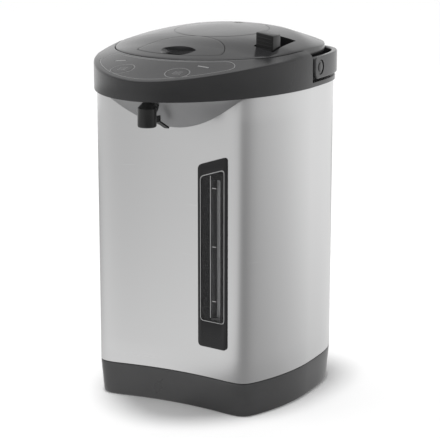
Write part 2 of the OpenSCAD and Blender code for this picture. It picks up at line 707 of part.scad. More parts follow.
module behind(y) {
    translate([-half_w - 50, y, 0]) cube([body_w + 100, 300, 1000]);
}
module pivot_bosses() {
    reach = band_in - fit;
    for (x = [lid_r - 3, -reach]) rod_x(pivot_r + 3.5, x, pivot_y, pivot_z, reach - lid_r + 3);
}
module centre_knuckle() {
    translate([-knuckle + fit, hinge_y + 1.2, deck_z - 1])
        cube([2 * (knuckle - fit), 9, hinge_z - deck_z + 1]);
    rod_x(barrel_r, -knuckle + fit, hinge_y, hinge_z, 2 * (knuckle - fit));
}
module keeper() {
    translate([keeper_x, keeper_y - 5, deck_z - 1]) cube([keeper_w, 5, 12]);
    translate([keeper_x, keeper_y - 8, deck_z + 7]) cube([keeper_w, 8, 4]);
}
// a ring that stands in the steel sleeve and a ledge that rests on its edge
module locating_lip() {
    difference() {
        intersection() {
            union() {
                prism(body_path(-steel_t - fit), top_z - 5, 6);
                prism(oval_path(0), top_z, 3);
            }
            behind(-55);
        }
        prism(body_path(-steel_t - fit - 2), top_z - 6, 20);
    }
}
module collar() {
    centred() color([0.2, 0.2, 0.21]) difference() {
        union() {
            difference() {
                crown_block(collar_lip, 0, top_z);
                crown_block(collar_lip - collar_wall, collar_wall + 0.5, top_z - 1);
            }
            intersection() {
                crown_block(collar_lip - 0.5, 0.5, top_z);
                union() {
                    difference() {
                        prism(lid_path(-1.5), deck_z - 3, 60);
                        prism(lid_path(well_wall), deck_z - 4, 62);
                    }
                    intersection() {
                        prism(oval_path(collar_lip), deck_z - 3, channel_z - deck_z + 3);
                        behind(channel_y - 2);
                    }
                    // end wall of the channel for the bail
                    difference() {
                        behind(channel_y - 2);
                        behind(channel_y);
                        prism(lid_path(3), 0, 1000);
                    }
                    for (p = board_posts) translate([p[0], p[1], board_z + board_t]) cylinder(r = 3, h = 30);
                    centre_knuckle();
                }
            }
            pivot_bosses();
            locating_lip();
        }
        // room for the lid above its seat, and for its hinge
        difference() {
            union() {
                difference() {
                    prism(lid_path(-lid_gap), seat_z, 80);
                    behind(hinge_y);
                }
                rod_x(barrel_r + 1.3, -half_w, hinge_y, hinge_z, body_w);
                // the lid's upper edge swings back over the barrel
                translate([-half_w, hinge_y, hinge_z]) cube([body_w, barrel_r + 1.7, 40]);
                prism(lid_path(well_wall), deck_z, hinge_z - deck_z - barrel_r - 4);
            }
            centre_knuckle();
        }
        // bed of the deck
        prism(lid_path(well_wall - deck_hold - run), deck_z - 4, 4 + run);
        // channel for the folded bail
        difference() {
            translate([0, 0, channel_z]) behind(channel_y);
            prism(lid_path(0), 0, 1000);
            pivot_bosses();
        }
        rod_x(pivot_r + run, -half_w, pivot_y, pivot_z, body_w);
        rod_x(hinge_pin_r, -knuckle, hinge_y, hinge_z, 2 * knuckle);
        crown_plate(film_path(fit / 2), film_centre, -1, film_t);
        for (p = button_places) translate([p[0], p[1], top_z + 6]) cylinder(r = button_r + 0.2, h = 60);
        for (p = lens_places) translate([p[0] - lens_w / 2, p[1] - lens_d / 2, top_z + 6]) cube([lens_w, lens_d, 60]);
        for (p = board_posts) translate([p[0], p[1], board_z]) cylinder(r = board_screw_r, h = 7);
    }
}

// the deck around the tank's mouth, pressed on the gasket by the collar, with the latch's keeper
module tank_deck() {
    centred() color([0.2, 0.2, 0.21]) difference() {
        union() {
            prism(lid_path(well_wall - deck_hold), deck_z - 3, 3);
            keeper();
        }
        translate([0, tank_y, 0]) cylinder(r = mouth_r, h = 1000);
    }
}

// ---- control panel ----
module control_film() {
    centred() color([0.3, 0.3, 0.31]) difference() {
        crown_plate(film_path(0), film_centre, 0, film_t - 0.1);
        for (p = button_places) translate([p[0], p[1], 0]) cylinder(r = button_r + 0.2, h = 1000);
        for (p = lens_places) translate([p[0] - lens_w / 2, p[1] - lens_d / 2, 0]) cube([lens_w, lens_d, 1000]);
    }
}
module touch_button(p) {
    foot = board_z + board_t + switch_h + button_travel + 0.2;
    centred() color([0.32, 0.32, 0.33]) {
        crown_plate(round_path(p, button_r), p, 0, 4);
        translate([p[0], p[1], foot]) cylinder(r = 2.5, h = crown_z(p) - 3 - foot);
    }
}
module reboil_button() touch_button(button_places[0]);
module dispense_button() touch_button(button_places[1]);
module indicator_lenses() {
    w = lens_w / 2 - 0.1;
    d = lens_d / 2 - 0.1;
    centred() color([0.8, 0.8, 0.8, 0.6]) for (p = lens_places)
        crown_plate([p + [-w, -d], p + [w, -d], p + [w, d], p + [-w, d]], p, 0, collar_wall + 1.5);
}
module control_board() {
    centred() color([0.1, 0.35, 0.2]) difference() {
        union() {
            prism([[-48, board_rear], [-34, board_front], [34, board_front], [48, board_rear]], board_z, board_t);
            for (p = button_places) translate([p[0] - 3, p[1] - 3, board_z]) {
                cube([6, 6, board_t + switch_h - 0.7]);
                translate([3, 3, 0]) cylinder(r = 1.7, h = board_t + switch_h);
            }
            for (p = lens_places) translate([p[0] - 2, board_rear - 4, board_z]) cube([4, 3, board_t + 5]);
            translate([-4, board_rear - 10, board_z - 3]) cube([16, 8, 4]);
        }
        for (p = board_posts) translate([p[0], p[1], board_z - 1]) cylinder(r = board_screw_r + 0.4, h = 10);
    }
}
module board_screws() {
    centred() color([0.75, 0.75, 0.75]) for (p = board_posts) translate([p[0], p[1], 0]) {
        translate([0, 0, board_z - 1.6]) cylinder(r = 2.6, h = 1.6);
        translate([0, 0, board_z - 0.5]) cylinder(r = board_screw_r - run, h = 6.5);
    }
}

// ---- power ----
module main_board() {
    z = plate_top + 6;
    centred() color([0.1, 0.35, 0.2]) difference() {
        union() {
            translate([-66, -40, z]) cube([56, 74, board_t]);
            for (p = [[-62, -36], [-14, -36], [-62, 30], [-14, 30]])
                translate([p[0], p[1], plate_top]) cylinder(r = 3, h = z - plate_top + eps);
            translate([-60, -10, z]) cube([18, 15, 15]);
            translate([-36, -30, z]) cylinder(r = 6, h = 16);
            translate([-36, 12, z]) cube([20, 14, 11]);
            translate([-60, -32, z]) cube([12, 10, 8]);
        }
        for (p = [[-62, -36], [-14, -36], [-62, 30], [-14, 30]])
            translate([p[0], p[1], z - 3]) cylinder(r = 1.5, h = 20);
    }
}
module power_socket() {
    recess_w = socket_w - 6;
    recess_h = socket_h - 6;
    centred() color([0.08, 0.08, 0.08]) difference() {
        union() {
            translate([-socket_w / 2, socket_front, socket_z - socket_h / 2])
                cube([socket_w, socket_back - socket_front, socket_h]);
            translate([-socket_w / 2 + 1.5, socket_front, plate_top])
                cube([socket_w - 3, 6, socket_z - plate_top]);
        }
        translate([-recess_w / 2, socket_back - 13.4, socket_z - recess_h / 2]) cube([recess_w, 30, recess_h]);
        for (x = [-pin_gap, pin_gap]) rod_y(1.5, x, socket_front - 1, socket_z, 12);
    }
}
module socket_pins() {
    centred() color([0.8, 0.75, 0.5]) for (x = [-pin_gap, pin_gap]) rod_y(1.5, x, socket_front - 4, socket_z, 17);
}

// ---- bail handle ----
module handle() {
    outer = oval_path(band_out - half_w);
    inner = oval_path(band_in - half_w);
    y0 = ear_front;
    side = concat(corner([y0, band_low + 8.5], [y0, band_low], [y0 + 8.5, band_low], 8),
        [[rear_reach + 40, band_low], [rear_reach + 40, band_low + band_h]],
        corner([y0 + 4.5, band_low + band_h], [y0, band_low + band_h], [y0, band_low + band_h - 4.5], 6));
    centred() color([0.22, 0.22, 0.23]) difference() {
        intersection() {
            prism(outer, band_low, band_h);
            rotate([90, 0, 90]) translate([0, 0, -200]) linear_extrude(400) polygon(side);
        }
        prism(inner, band_low - 1, band_h + 2);
        rod_x(pivot_r, -band_out, pivot_y, pivot_z, 2 * band_out);
        for (x = [band_out - dimple, -band_out - 10 + dimple])
            rod_x(pivot_head_r + 0.6, x, pivot_y, pivot_z, 10);
    }
}
module handle_pivots() {
    inner_end = lid_r - well_wall + 0.5;
    centred() color([0.26, 0.26, 0.27]) for (s = [0, 1]) mirror([s, 0, 0]) {
        rod_x(pivot_r, inner_end, pivot_y, pivot_z, band_out - dimple - inner_end);
        rod_x(pivot_head_r, band_out - dimple, pivot_y, pivot_z, dimple / 2);
    }
}

// ---- lid ----
function press_r(a, grow) =
    blend_r(circle_ray(a, press_centre, [0, 0], press_front_r + grow),
        circle_ray(a, press_centre, [0, press_rear_c], press_rear_r + grow), 22);
function press_path(grow) = [for (a = angles(60)) press_centre + polar(a, press_r(a, grow))];

module lid_body(z) {
    difference() {
        prism(lid_path(0), z, 100);
        behind(hinge_y);
    }
    intersection() {
        prism(lid_path(0), z, 100);
        rod_x(barrel_r, -half_w, hinge_y, hinge_z, body_w);
    }
}
module lid_cover() {
    centred() color([0.3, 0.3, 0.31]) difference() {
        union() {
            difference() {
                intersection() {
                    lid_body(lid_low);
                    crown_block(0, 0, top_z);
                }
                // the hollow below the cover
                intersection() {
                    difference() {
                        prism(lid_path(3), top_z, 100);
                        behind(hinge_y - barrel_r - 2);
                        prism(press_path(2.2), 0, 1000);
                        translate([tray_x0 - 2, tray_y0 - 2, 0]) cube([tray_w + 4, tray_len + 4, 1000]);
                        for (p = liner_posts) translate([p[0], p[1], 0]) cylinder(r = 4, h = 1000);
                    }
                    crown_block(-2, lid_t, top_z);
                }
                // the hole that the steam cover fills
                translate([0, steam_y, top_z]) cylinder(r = steam_r + fit, h = 100);
            }
            // a guide for the press plate and a ledge for the steam cover
            prism(press_path(2.2), guide_low, lid_low - guide_low + 1);
            difference() {
                crown_plate(round_path([0, steam_y], steam_r + 3), [0, steam_y], 3.3, 5.8);
                translate([0, steam_y, 0]) cylinder(r = steam_r - 5, h = 1000);
            }
        }
        prism(press_path(0.5), 0, 1000);
        translate([tray_x0, tray_y0, tray_z]) cube([tray_w, tray_len, 100]);
        translate([keeper_x - 0.5, lever_y - 8, 0]) cube([keeper_w + 1, 12, 1000]);
        rod_x(lever_pin_r, tray_x0 - 2.5, lever_y, lever_z, tray_w + 5);
        translate([-knuckle, hinge_y - barrel_r - 2.5, 0]) cube([2 * knuckle, 40, 1000]);
        rod_x(hinge_pin_r + run, -hinge_half - 1, hinge_y, hinge_z, 2 * hinge_half + 2);
        for (p = liner_posts) translate([p[0], p[1], 0]) cylinder(r = board_screw_r, h = lid_low + 5);
        translate([0, vent_y, 0]) cylinder(r = vent_r + 2.4, h = 1000);
    }
}
module lid_liner() {
    rear = hinge_y + 0.5;
    centred() color([0.75, 0.75, 0.75]) difference() {
        union() {
            difference() {
                prism(lid_path(well_wall + 3), liner_z, lid_low - liner_z - 0.1);
                behind(rear);
                difference() {
                    prism(lid_path(well_wall + 5), liner_z + liner_t, 100);
                    behind(rear - 2);
                }
            }
            for (p = liner_posts) translate([p[0], p[1], liner_z + 1]) cylinder(r = 4, h = lid_low - liner_z - 1.1);
        }
        translate([press_centre[0], press_centre[1], 0]) cylinder(r = valve_r, h = 1000);
        translate([0, vent_y, 0]) cylinder(r = vent_r + run, h = 1000);
        translate([keeper_x - 1, lever_y - 14, 0]) cube([keeper_w + 3, 30, liner_z + liner_t + 1]);
        prism(press_path(2.2 + fit), guide_low - fit, 100);
        for (p = liner_posts) translate([p[0], p[1], 0]) cylinder(r = board_screw_r + 0.4, h = 1000);
    }
}
module inner_lid() {
    centred() color([0.8, 0.8, 0.82]) difference() {
        translate([0, tank_y, liner_z - 1.4]) cylinder(r = seal_in, h = 1.4);
        translate([press_centre[0], press_centre[1], 0]) cylinder(r = valve_r, h = 1000);
        for (x = [-4, 0, 4]) translate([x, vent_y, 0]) cylinder(r = 1.4, h = 1000);
        for (p = liner_posts) translate([p[0], p[1], 0]) cylinder(r = 3.4, h = 1000);
    }
}
module lid_seal() {
    centred() color([0.9, 0.9, 0.88]) translate([0, tank_y, 0]) tube(seal_in + 3.2, seal_in, deck_z + fit, liner_z - deck_z - fit);
}
module press_plate() {
    centred() color([0.3, 0.3, 0.31]) difference() {
        union() {
            difference() {
                press_block(0);
                translate([0, 0, -0.01]) press_core();
            }
            translate([press_centre[0], press_centre[1], hub_z])
                cylinder(r = bellows_r - 3, h = crown_z(press_centre) - 5 - hub_z);
        }
        dish();
    }
}
module press_block(grow) {
    path = press_path(grow);
    rings = concat([lift(path, top_z + 26)],
        [for (s = [1, 0.8, 0.55, 0.3]) on_crown(path, press_centre, s, 0)]);
    low = press_centre + fan_off;
    stack(rings, [low[0], low[1], top_z + 26], [press_centre[0], press_centre[1], crown_z(press_centre)]);
}
module press_core() {
    path = press_path(-2);
    rings = concat([lift(path, top_z + 25)],
        [for (s = [1, 0.6, 0.3]) on_crown(path, press_centre, s, 5.5)]);
    low = press_centre + fan_off;
    stack(rings, [low[0], low[1], top_z + 25], [press_centre[0], press_centre[1], crown_z(press_centre) - 5.5]);
}
// the thumb dish has a crisp rear edge and fades out towards the front
module dish() {
    y = press_centre[1] - 6;
    slope = (crown_z([0, y]) - crown_z([0, y - 16])) / 16;
    bowl_r = 40;
    half = 16.5;
    brim = 32;
    out = sqrt(bowl_r * bowl_r - half * half) * [0, -slope, 1] / norm([0, -slope, 1]);
    rings = [for (t = [4, 11, 18, 25, brim]) [for (a = angles(30)) bowl_r * [sin(t) * cos(a), sin(t) * sin(a), -cos(t)]]];
    difference() {
        translate([0, y, crown_z([0, y])] + out) rotate([atan(slope), 0, 0])
            stack(rings, [0, 0, -bowl_r], [0, 0, -bowl_r * cos(brim)]);
        behind(y + 4);
    }
}
module bellows() {
    folds = 4;
    h = hub_z - bellows_low;
    step = h / folds;
    w = 1;
    outer = [for (i = [0:folds]) each i < folds
        ? [[bellows_r - 5, bellows_low + i * step], [bellows_r, bellows_low + (i + 0.5) * step]]
        : [[bellows_r - 5, bellows_low + h]]];
    inner = [for (i = [len(outer) - 1:-1:0]) outer[i] - [w, 0]];
    centred() color([0.15, 0.15, 0.15]) translate([press_centre[0], press_centre[1], 0]) rotate_extrude() polygon(concat(outer, inner));
}
module bellows_spring() {
    centred() color([0.8, 0.8, 0.8]) translate([press_centre[0], press_centre[1], bellows_low])
        coil(11, 0.8, hub_z - bellows_low, 4);
}
module air_valve() {
    centred() color([0.85, 0.4, 0.3]) translate([press_centre[0], press_centre[1], 0]) {
        translate([0, 0, liner_z - 1.4]) cylinder(r = valve_r - 0.1, h = bellows_low - liner_z + 1.5);
        translate([0, 0, bellows_low]) cylinder(r = valve_r + 2, h = 1.2);
    }
}
module steam_cover() {
    z = crown_z([0, vent_y]);
    centred() color([0.33, 0.33, 0.34]) difference() {
        union() {
            crown_plate(round_path([0, steam_y], steam_r), [0, steam_y], 0, 3.2);
            translate([0, vent_y, z - 12]) cylinder(r = vent_r + 2, h = 10);
        }
        translate([0, vent_y, z - 13]) cylinder(r = vent_r + run, h = 9);
        for (x = [-3:3:3]) translate([x - 0.75, vent_y - 4.5, 0]) cube([1.5, 9, 1000]);
    }
}
module steam_tube() {
    centred() color([0.8, 0.8, 0.8]) translate([0, vent_y, 0])
        tube(vent_r, vent_r - 1.5, liner_z, crown_z([0, vent_y]) - 6 - liner_z);
}

// ---- release lever ----
module release_lever() {
    tip = 9.5;      // the top slopes down towards the side
    centred() color([0.12, 0.12, 0.12]) difference() {
        union() {
            intersection() {
                translate([lever_x0, lever_front, lever_z - 3]) cube([lever_w, lever_d, 40]);
                translate([lever_x0, lever_front - 5, lever_top + 1.2]) rotate([0, tip, 0])
                    translate([-20, 0, -60]) cube([lever_w + 40, lever_d + 10, 60]);
                // the underside clears the tray when the lever is pressed back
                translate([0, lever_y, lever_z]) rotate([lever_turn, 0, 0]) translate([0, -50, -3.5]) cube(100);
            }
            rod_x(3.5, lever_x0, lever_y, lever_z, lever_w);
            // tail with its hook
            translate([keeper_x + fit, lever_y - 3, liner_z - 1.5]) cube([keeper_w - 2 * fit, 4.5, lever_z - liner_z]);
            translate([keeper_x + fit, lever_y - 3, liner_z - 1.5])
                cube([keeper_w - 2 * fit, keeper_y - 8 - fit - lever_y + 3, 3.5]);
        }
        rod_x(lever_pin_r + run, lever_x0 - 1, lever_y, lever_z, lever_w + 2);
        // pocket for the spring
        rod_x(3.1, lever_x0 - 1, lever_y, lever_z, 7);
        for (i = [0:5]) translate([lever_x0 + 2 + 2.7 * i, lever_front + 3, lever_top + 0.6 - 0.45 * i])
            rotate([0, tip, 0]) cube([1.2, lever_d - 6, 10]);
    }
}
module lever_pin() {
    centred() color([0.8, 0.8, 0.8]) rod_x(lever_pin_r, tray_x0 - 2, lever_y, lever_z, tray_w + 4);
}
module lever_spring() {
    centred() color([0.8, 0.8, 0.8]) translate([lever_x0 - 1.2, lever_y, lever_z]) rotate([0, 90, 0]) coil(2.2, 0.4, 6.8, 5);
}
module hinge_pin() {
    centred() color([0.8, 0.8, 0.8]) rod_x(hinge_pin_r, -hinge_half + 2, hinge_y, hinge_z, 2 * hinge_half - 4);
}
module liner_screws() {
    centred() color([0.75, 0.75, 0.75]) for (p = liner_posts) translate([p[0], p[1], 0]) {
        translate([0, 0, liner_z - 1.2]) cylinder(r = 3, h = 1.2);
        translate([0, 0, liner_z - 0.5]) cylinder(r = board_screw_r - run, h = lid_low + 5 - liner_z);
    }
}

base_shell();
bottom_plate();
feet();
bottom_screws();
outer_shell();
chin_cover();
gauge_panel();
gauge_window();
gauge_backing();
sight_tube();
inner_tank();
tank_gasket();
insulation_wrap();
heater_plate();
band_heater();
thermostats();
pump_pad();
pump_motor();
pump_housing();
impeller_pin();
pump_impeller();
inlet_hose();
lower_hose();
upper_hose();
spout_pipe();
spout_nozzle();
cup_lever();
cup_lever_pin();
cup_switch();
collar();
tank_deck();
control_film();
reboil_button();
dispense_button();
indicator_lenses();
control_board();
board_screws();
main_board();
power_socket();
socket_pins();
handle();
handle_pivots();
lid_cover();
lid_liner();
inner_lid();
lid_seal();
press_plate();
bellows();
bellows_spring();
air_valve();
steam_cover();
steam_tube();
release_lever();
lever_pin();
lever_spring();
hinge_pin();
liner_screws();
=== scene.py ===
"""The looks of an electric thermo pot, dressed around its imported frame.

Lengths are in millimetres in the pot's own coordinates: the widest line of the body lies at
y = 0, the spout points to -Y and the floor is z = 0. ``to_frame`` turns them into metres in
the frame's coordinates just before a mesh is written.
"""

import logging
import math
from dataclasses import dataclass, field
from enum import Enum
from typing import Any, Dict, Iterable, List, Optional, Sequence, Tuple, Union

import bpy
import numpy as np
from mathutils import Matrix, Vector

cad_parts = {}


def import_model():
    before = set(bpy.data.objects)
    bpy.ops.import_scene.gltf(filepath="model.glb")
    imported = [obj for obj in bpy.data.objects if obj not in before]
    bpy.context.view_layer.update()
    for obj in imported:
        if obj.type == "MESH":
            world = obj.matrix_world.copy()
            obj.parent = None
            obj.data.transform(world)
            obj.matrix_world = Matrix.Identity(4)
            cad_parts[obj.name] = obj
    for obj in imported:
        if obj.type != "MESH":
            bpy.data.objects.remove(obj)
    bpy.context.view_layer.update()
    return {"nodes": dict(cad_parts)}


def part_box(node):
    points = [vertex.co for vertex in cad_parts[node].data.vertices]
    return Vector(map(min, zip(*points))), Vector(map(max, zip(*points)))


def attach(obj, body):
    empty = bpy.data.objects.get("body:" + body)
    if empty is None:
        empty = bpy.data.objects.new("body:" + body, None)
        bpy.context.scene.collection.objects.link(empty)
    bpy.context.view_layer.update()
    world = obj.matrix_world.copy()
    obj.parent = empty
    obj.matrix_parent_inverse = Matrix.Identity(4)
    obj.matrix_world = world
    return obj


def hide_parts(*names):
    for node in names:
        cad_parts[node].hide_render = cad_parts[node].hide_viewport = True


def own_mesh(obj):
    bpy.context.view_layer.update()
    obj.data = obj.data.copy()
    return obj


log = logging.getLogger("thermo_pot")

MM = 0.001
CLEAR_OF_POT = 380.0  # a height above all of the pot, in millimetres
WIDEST_LINE_Y = 25.75  # the widest line's place in the frame, in millimetres

Pair = Tuple[float, float]
Point = Tuple[float, float, float]
Block = Tuple[Point, Point]
Numbers = Union[float, np.ndarray]
Piece = bpy.types.Object


# ---------------------------------------------------------------- the pot's outlines


def ease(value: np.ndarray, start: float, end: float) -> np.ndarray:
    """A smooth step from 0 at start to 1 at end."""
    t = np.clip((value - start) / (end - start), 0, 1)
    return t * t * (3 - 2 * t)


@dataclass(frozen=True)
class PotShape:
    """The outlines that every piece of the pot is built from."""

    half_width: float = 105.0
    front_reach: float = 152.0
    rear_reach: float = 99.0
    front_power: float = 1.85
    rear_power: float = 3.6
    face_reach: float = 84.7
    face_dip: float = 18.0
    corner_power: float = 15.0
    seam: float = 34.0
    top: float = 309.0
    deck: float = 315.0
    seat: float = 333.5
    lid_low: float = 333.9
    lid_radius: float = 97.0
    lid_inset: float = 8.0
    lid_gap: float = 0.7
    mouth_radius: float = 68.0
    tank_y: float = 4.0
    rim_front: float = 19.0
    rim_rear: float = 30.0
    rim_bend: float = -28.0
    rim_span: float = 124.0
    crown_rise: float = 20.3
    hinge_y: float = 76.0
    hinge_z: float = 347.0
    rear_rise: float = 1.9
    dome_slope: float = 0.11
    dome_power: float = 2.07
    full_rise: float = 19.0
    full_slope: float = 0.065
    full_power: float = 2.6
    full_reach: Pair = (110.0, 125.0)
    full_zone: Tuple[float, ...] = (-60.0, -15.0, 62.0, 74.0)
    ridge_zone: Tuple[float, ...] = (-50.0, -15.0, 52.0, 72.0)
    ridge_y: float = -30.0
    ridge_radius: float = 99.3
    ridge_width: float = 30.0
    ridge_fall: float = 20.0
    ridge_height: float = 1.3

    @staticmethod
    def _super(a: np.ndarray, width: float, length: float, power: float) -> np.ndarray:
        """Radius of a superellipse in direction a.

        Args:
            a: directions in radians.
            width: half the width.
            length: half the length.
            power: how square it is; 2 is an ellipse.

        Returns:
            One radius for each direction.
        """
        c, s = np.abs(np.cos(a)) / width, np.abs(np.sin(a)) / length
        return (c**power + s**power) ** (-1 / power)

    def oval(self, a: np.ndarray, grow: float = 0.0) -> np.ndarray:
        """Radius of the egg-shaped top outline.

        Args:
            a: directions in radians.
            grow: how far outside the outline.

        Returns:
            One radius for each direction.
        """
        w = self.half_width + grow
        rear = self._super(a, w, self.rear_reach + grow, self.rear_power)
        front = self._super(a, w, self.front_reach + grow, self.front_power)
        return np.where(np.sin(a) > 0, rear, front)

    def body(self, a: np.ndarray, grow: float = 0.0) -> np.ndarray:
        """Radius of the steel body: the oval, cut by the hollow front face.

        Args:
            a: directions in radians.
            grow: how far outside the outline.

        Returns:
            One radius for each direction.
        """
        u = -np.sin(a)
        bend = self.face_dip * (np.cos(a) / self.half_width) ** 2
        reach = self.face_reach + grow
        q = u * u - 4 * bend * reach
        inside = (u > 0) & (q >= 0)
        face = np.where(inside, 2 * reach / (u + np.sqrt(np.maximum(q, 0)) + 1e-12), 10 * self.half_width)
        n = self.corner_power
        return (self.oval(a, grow) ** -n + face**-n) ** (-1 / n)

    def lid(self, a: np.ndarray, inset: float = 0.0) -> np.ndarray:
        """Radius of the lid's outline, or of one inside it.

        Args:
            a: directions in radians.
            inset: how far inside the lid's outline.

        Returns:
            One radius for each direction.
        """
        r = self.lid_radius - inset
        rear = self._super(a, r, self.rear_reach - self.lid_inset - inset, self.rear_power)
        return np.where(np.sin(a) > 0, rear, r)

    def mouth(self, a: np.ndarray, grow: float = 0.0) -> np.ndarray:
        """Radius of the tank's mouth, whose middle lies behind the widest line."""
        r, y = self.mouth_radius + grow, self.tank_y
        return y * np.sin(a) + np.sqrt(r * r - (y * np.cos(a)) ** 2)

    def face_y(self, x: np.ndarray) -> np.ndarray:
        """Where the front of the steel body stands at x.

        Args:
            x: across.

        Returns:
            One y for each x.
        """
        a = np.linspace(math.pi * 1.02, math.pi * 1.98, 2400)
        r = self.body(a)
        return np.interp(x, r * np.cos(a), r * np.sin(a))

    def beak_y(self, x: np.ndarray, inset: float) -> np.ndarray:
        """Where the beak's edge stands at x, a little inside the oval."""
        w, reach = self.half_width - inset, self.front_reach - inset
        return -reach * (1 - (np.abs(x) / w) ** self.front_power) ** (1 / self.front_power)

    def crown(self, x: np.ndarray, y: np.ndarray) -> np.ndarray:
        """Height of the domed top at a point.

        Args:
            x: across.
            y: fore and aft.

        Returns:
            Heights above the floor.
        """
        x, y = np.asarray(x, float), np.asarray(y, float)
        r = np.hypot(x, y)
        a = np.arctan2(y, np.where(r < 1e-6, 1e-6, x))
        share = np.minimum(r / self.oval(a), 1.0)
        drop = (self.rim_rear - self.rim_front) * (np.maximum(self.rim_bend - y, 0) / self.rim_span) ** 2
        rise = self.rear_rise * np.clip((y - self.rim_bend) / self.rim_span, 0, 1)
        dome = (self.crown_rise + self.dome_slope * y) * (1 - share**self.dome_power)
        near_rim = share**8
        round_share = np.minimum(r / self._super(a, *self.full_reach, 2.0), 1.0)
        blended = near_rim * share + (1 - near_rim) * round_share
        full = (self.full_rise + self.full_slope * y) * (1 - blended**self.full_power)
        start, whole, fade, end = self.full_zone
        behind = ease(y, start, whole) * (1 - ease(y, fade, end))
        return self.top + self.rim_rear - drop + rise + dome + behind * (full - dome) + self.ridge(x, y)

    def ridge(self, x: np.ndarray, y: np.ndarray) -> np.ndarray:
        """The low ridge that runs round the crown's rear on a circle, off the rim's front edge.

        Args:
            x: across.
            y: fore and aft.

        Returns:
            What it adds to the crown's height.
        """
        out = np.hypot(x, y - self.ridge_y)
        climb = np.clip((out - self.ridge_radius) / self.ridge_width + 1, 0, 1) ** 2
        fall = 1 - ease(out, self.ridge_radius, self.ridge_radius + self.ridge_fall)
        start, full, fade, end = self.ridge_zone
        return self.ridge_height * climb * fall * ease(y, start, full) * (1 - ease(y, fade, end))


SHAPE = PotShape()


def to_frame(points: np.ndarray) -> np.ndarray:
    """Millimetres in the pot's coordinates to metres in the frame's.

    Args:
        points: x, y and z in the last axis.

    Returns:
        The points, in metres.
    """
    out = np.array(points, float) * MM
    out[..., 1] += WIDEST_LINE_Y * MM
    return out


def around(count: int, extra: Sequence[float] = ()) -> np.ndarray:
    """Directions all the way round, with a few more where an edge needs them.

    Args:
        count: how many even steps.
        extra: more directions, in degrees.

    Returns:
        Sorted directions in radians.
    """
    even = np.linspace(0, 360, count, endpoint=False)
    more = np.mod(np.array(extra, float), 360)
    kept = even[[not len(more) or np.min(np.abs(more - e)) > 0.05 for e in even]]
    return np.radians(np.sort(np.concatenate([kept, more])))


def polar(a: Numbers, r: Numbers, z: Numbers) -> np.ndarray:
    """Points at radius r and height z in each direction."""
    a, r, z = np.broadcast_arrays(a, r, z)
    return np.stack([r * np.cos(a), r * np.sin(a), z], axis=-1)


def flat_path(a: np.ndarray, r: Numbers, centre: Pair = (0.0, 0.0)) -> np.ndarray:
    """An outline in plan, from its radius in each direction about a centre."""
    return np.stack([centre[0] + r * np.cos(a), centre[1] + r * np.sin(a)], axis=-1)


def oblong(x: Pair, y: Pair) -> np.ndarray:
    """The corners of a rectangle between two limits each way."""
    return np.array([(x[0], y[0]), (x[1], y[0]), (x[1], y[1]), (x[0], y[1])])


def curve_through(points: Sequence[Pair], count: int) -> np.ndarray:
    """A smooth curve through a few points.

    Args:
        points: the points that it passes.
        count: how many points to return.

    Returns:
        Points along the curve.
    """
    p = np.array(points, float)
    p = np.concatenate([[2 * p[0] - p[1]], p, [2 * p[-1] - p[-2]]])
    t = np.linspace(0, len(points) - 1 - 1e-9, count)
    i = t.astype(int) + 1
    f = (t - np.floor(t))[:, None]
    a, b, c, d = p[i - 1], p[i], p[i + 1], p[i + 2]
    return 0.5 * (2 * b + (c - a) * f + (2 * a - 5 * b + 4 * c - d) * f**2 + (3 * b - a - 3 * c + d) * f**3)


def bend(start: Sequence[float], corner: Sequence[float], end: Sequence[float], count: int) -> np.ndarray:
    """Points on a rounded corner, from start past the corner to end.

    Args:
        start: the first point.
        corner: the corner that it rounds.
        end: the last point.
        count: how many points to return.

    Returns:
        Points along the bend.
    """
    a, p, b = (np.array(v, float) for v in (start, corner, end))
    t = np.linspace(0, 1, count)[:, None]
    return (1 - t) ** 2 * a + 2 * t * (1 - t) * p + t**2 * b


# ---------------------------------------------------------------- the workbench


class Fit(Enum):
    """How one shape changes another."""

    CUT = "DIFFERENCE"
    KEEP = "INTERSECT"


def deselect() -> None:
    """Leaves nothing selected."""
    if bpy.context.mode != "OBJECT":
        bpy.ops.object.mode_set(mode="OBJECT")
    bpy.ops.object.select_all(action="DESELECT")


def pick(piece: Piece) -> None:
    """Selects one piece alone and makes it active.

    Args:
        piece: the piece.
    """
    deselect()
    piece.select_set(True)
    bpy.context.view_layer.objects.active = piece


def read_points(piece: Piece) -> np.ndarray:
    """A mesh's points, in metres.

    Args:
        piece: the piece.

    Returns:
        One row for each point.
    """
    co = np.empty(len(piece.data.vertices) * 3)
    piece.data.vertices.foreach_get("co", co)
    return co.reshape(-1, 3)


def write_points(piece: Piece, points: np.ndarray) -> None:
    """Moves a mesh's points to their places, in metres."""
    piece.data.vertices.foreach_set("co", np.ascontiguousarray(points, float).ravel())
    piece.data.update()


def close_mesh(piece: Piece, fill: bool = True) -> None:
    """Merges doubled points, fills open ends and turns the faces outwards.

    Args:
        piece: the piece.
        fill: whether open ends are filled.
    """
    pick(piece)
    bpy.ops.object.mode_set(mode="EDIT")
    bpy.ops.mesh.select_all(action="SELECT")
    bpy.ops.mesh.remove_doubles(threshold=1e-6)
    if fill:
        bpy.ops.mesh.select_all(action="SELECT")
        bpy.ops.mesh.fill_holes(sides=0)
    bpy.ops.mesh.select_all(action="SELECT")
    bpy.ops.mesh.normals_make_consistent(inside=False)
    bpy.ops.object.mode_set(mode="OBJECT")


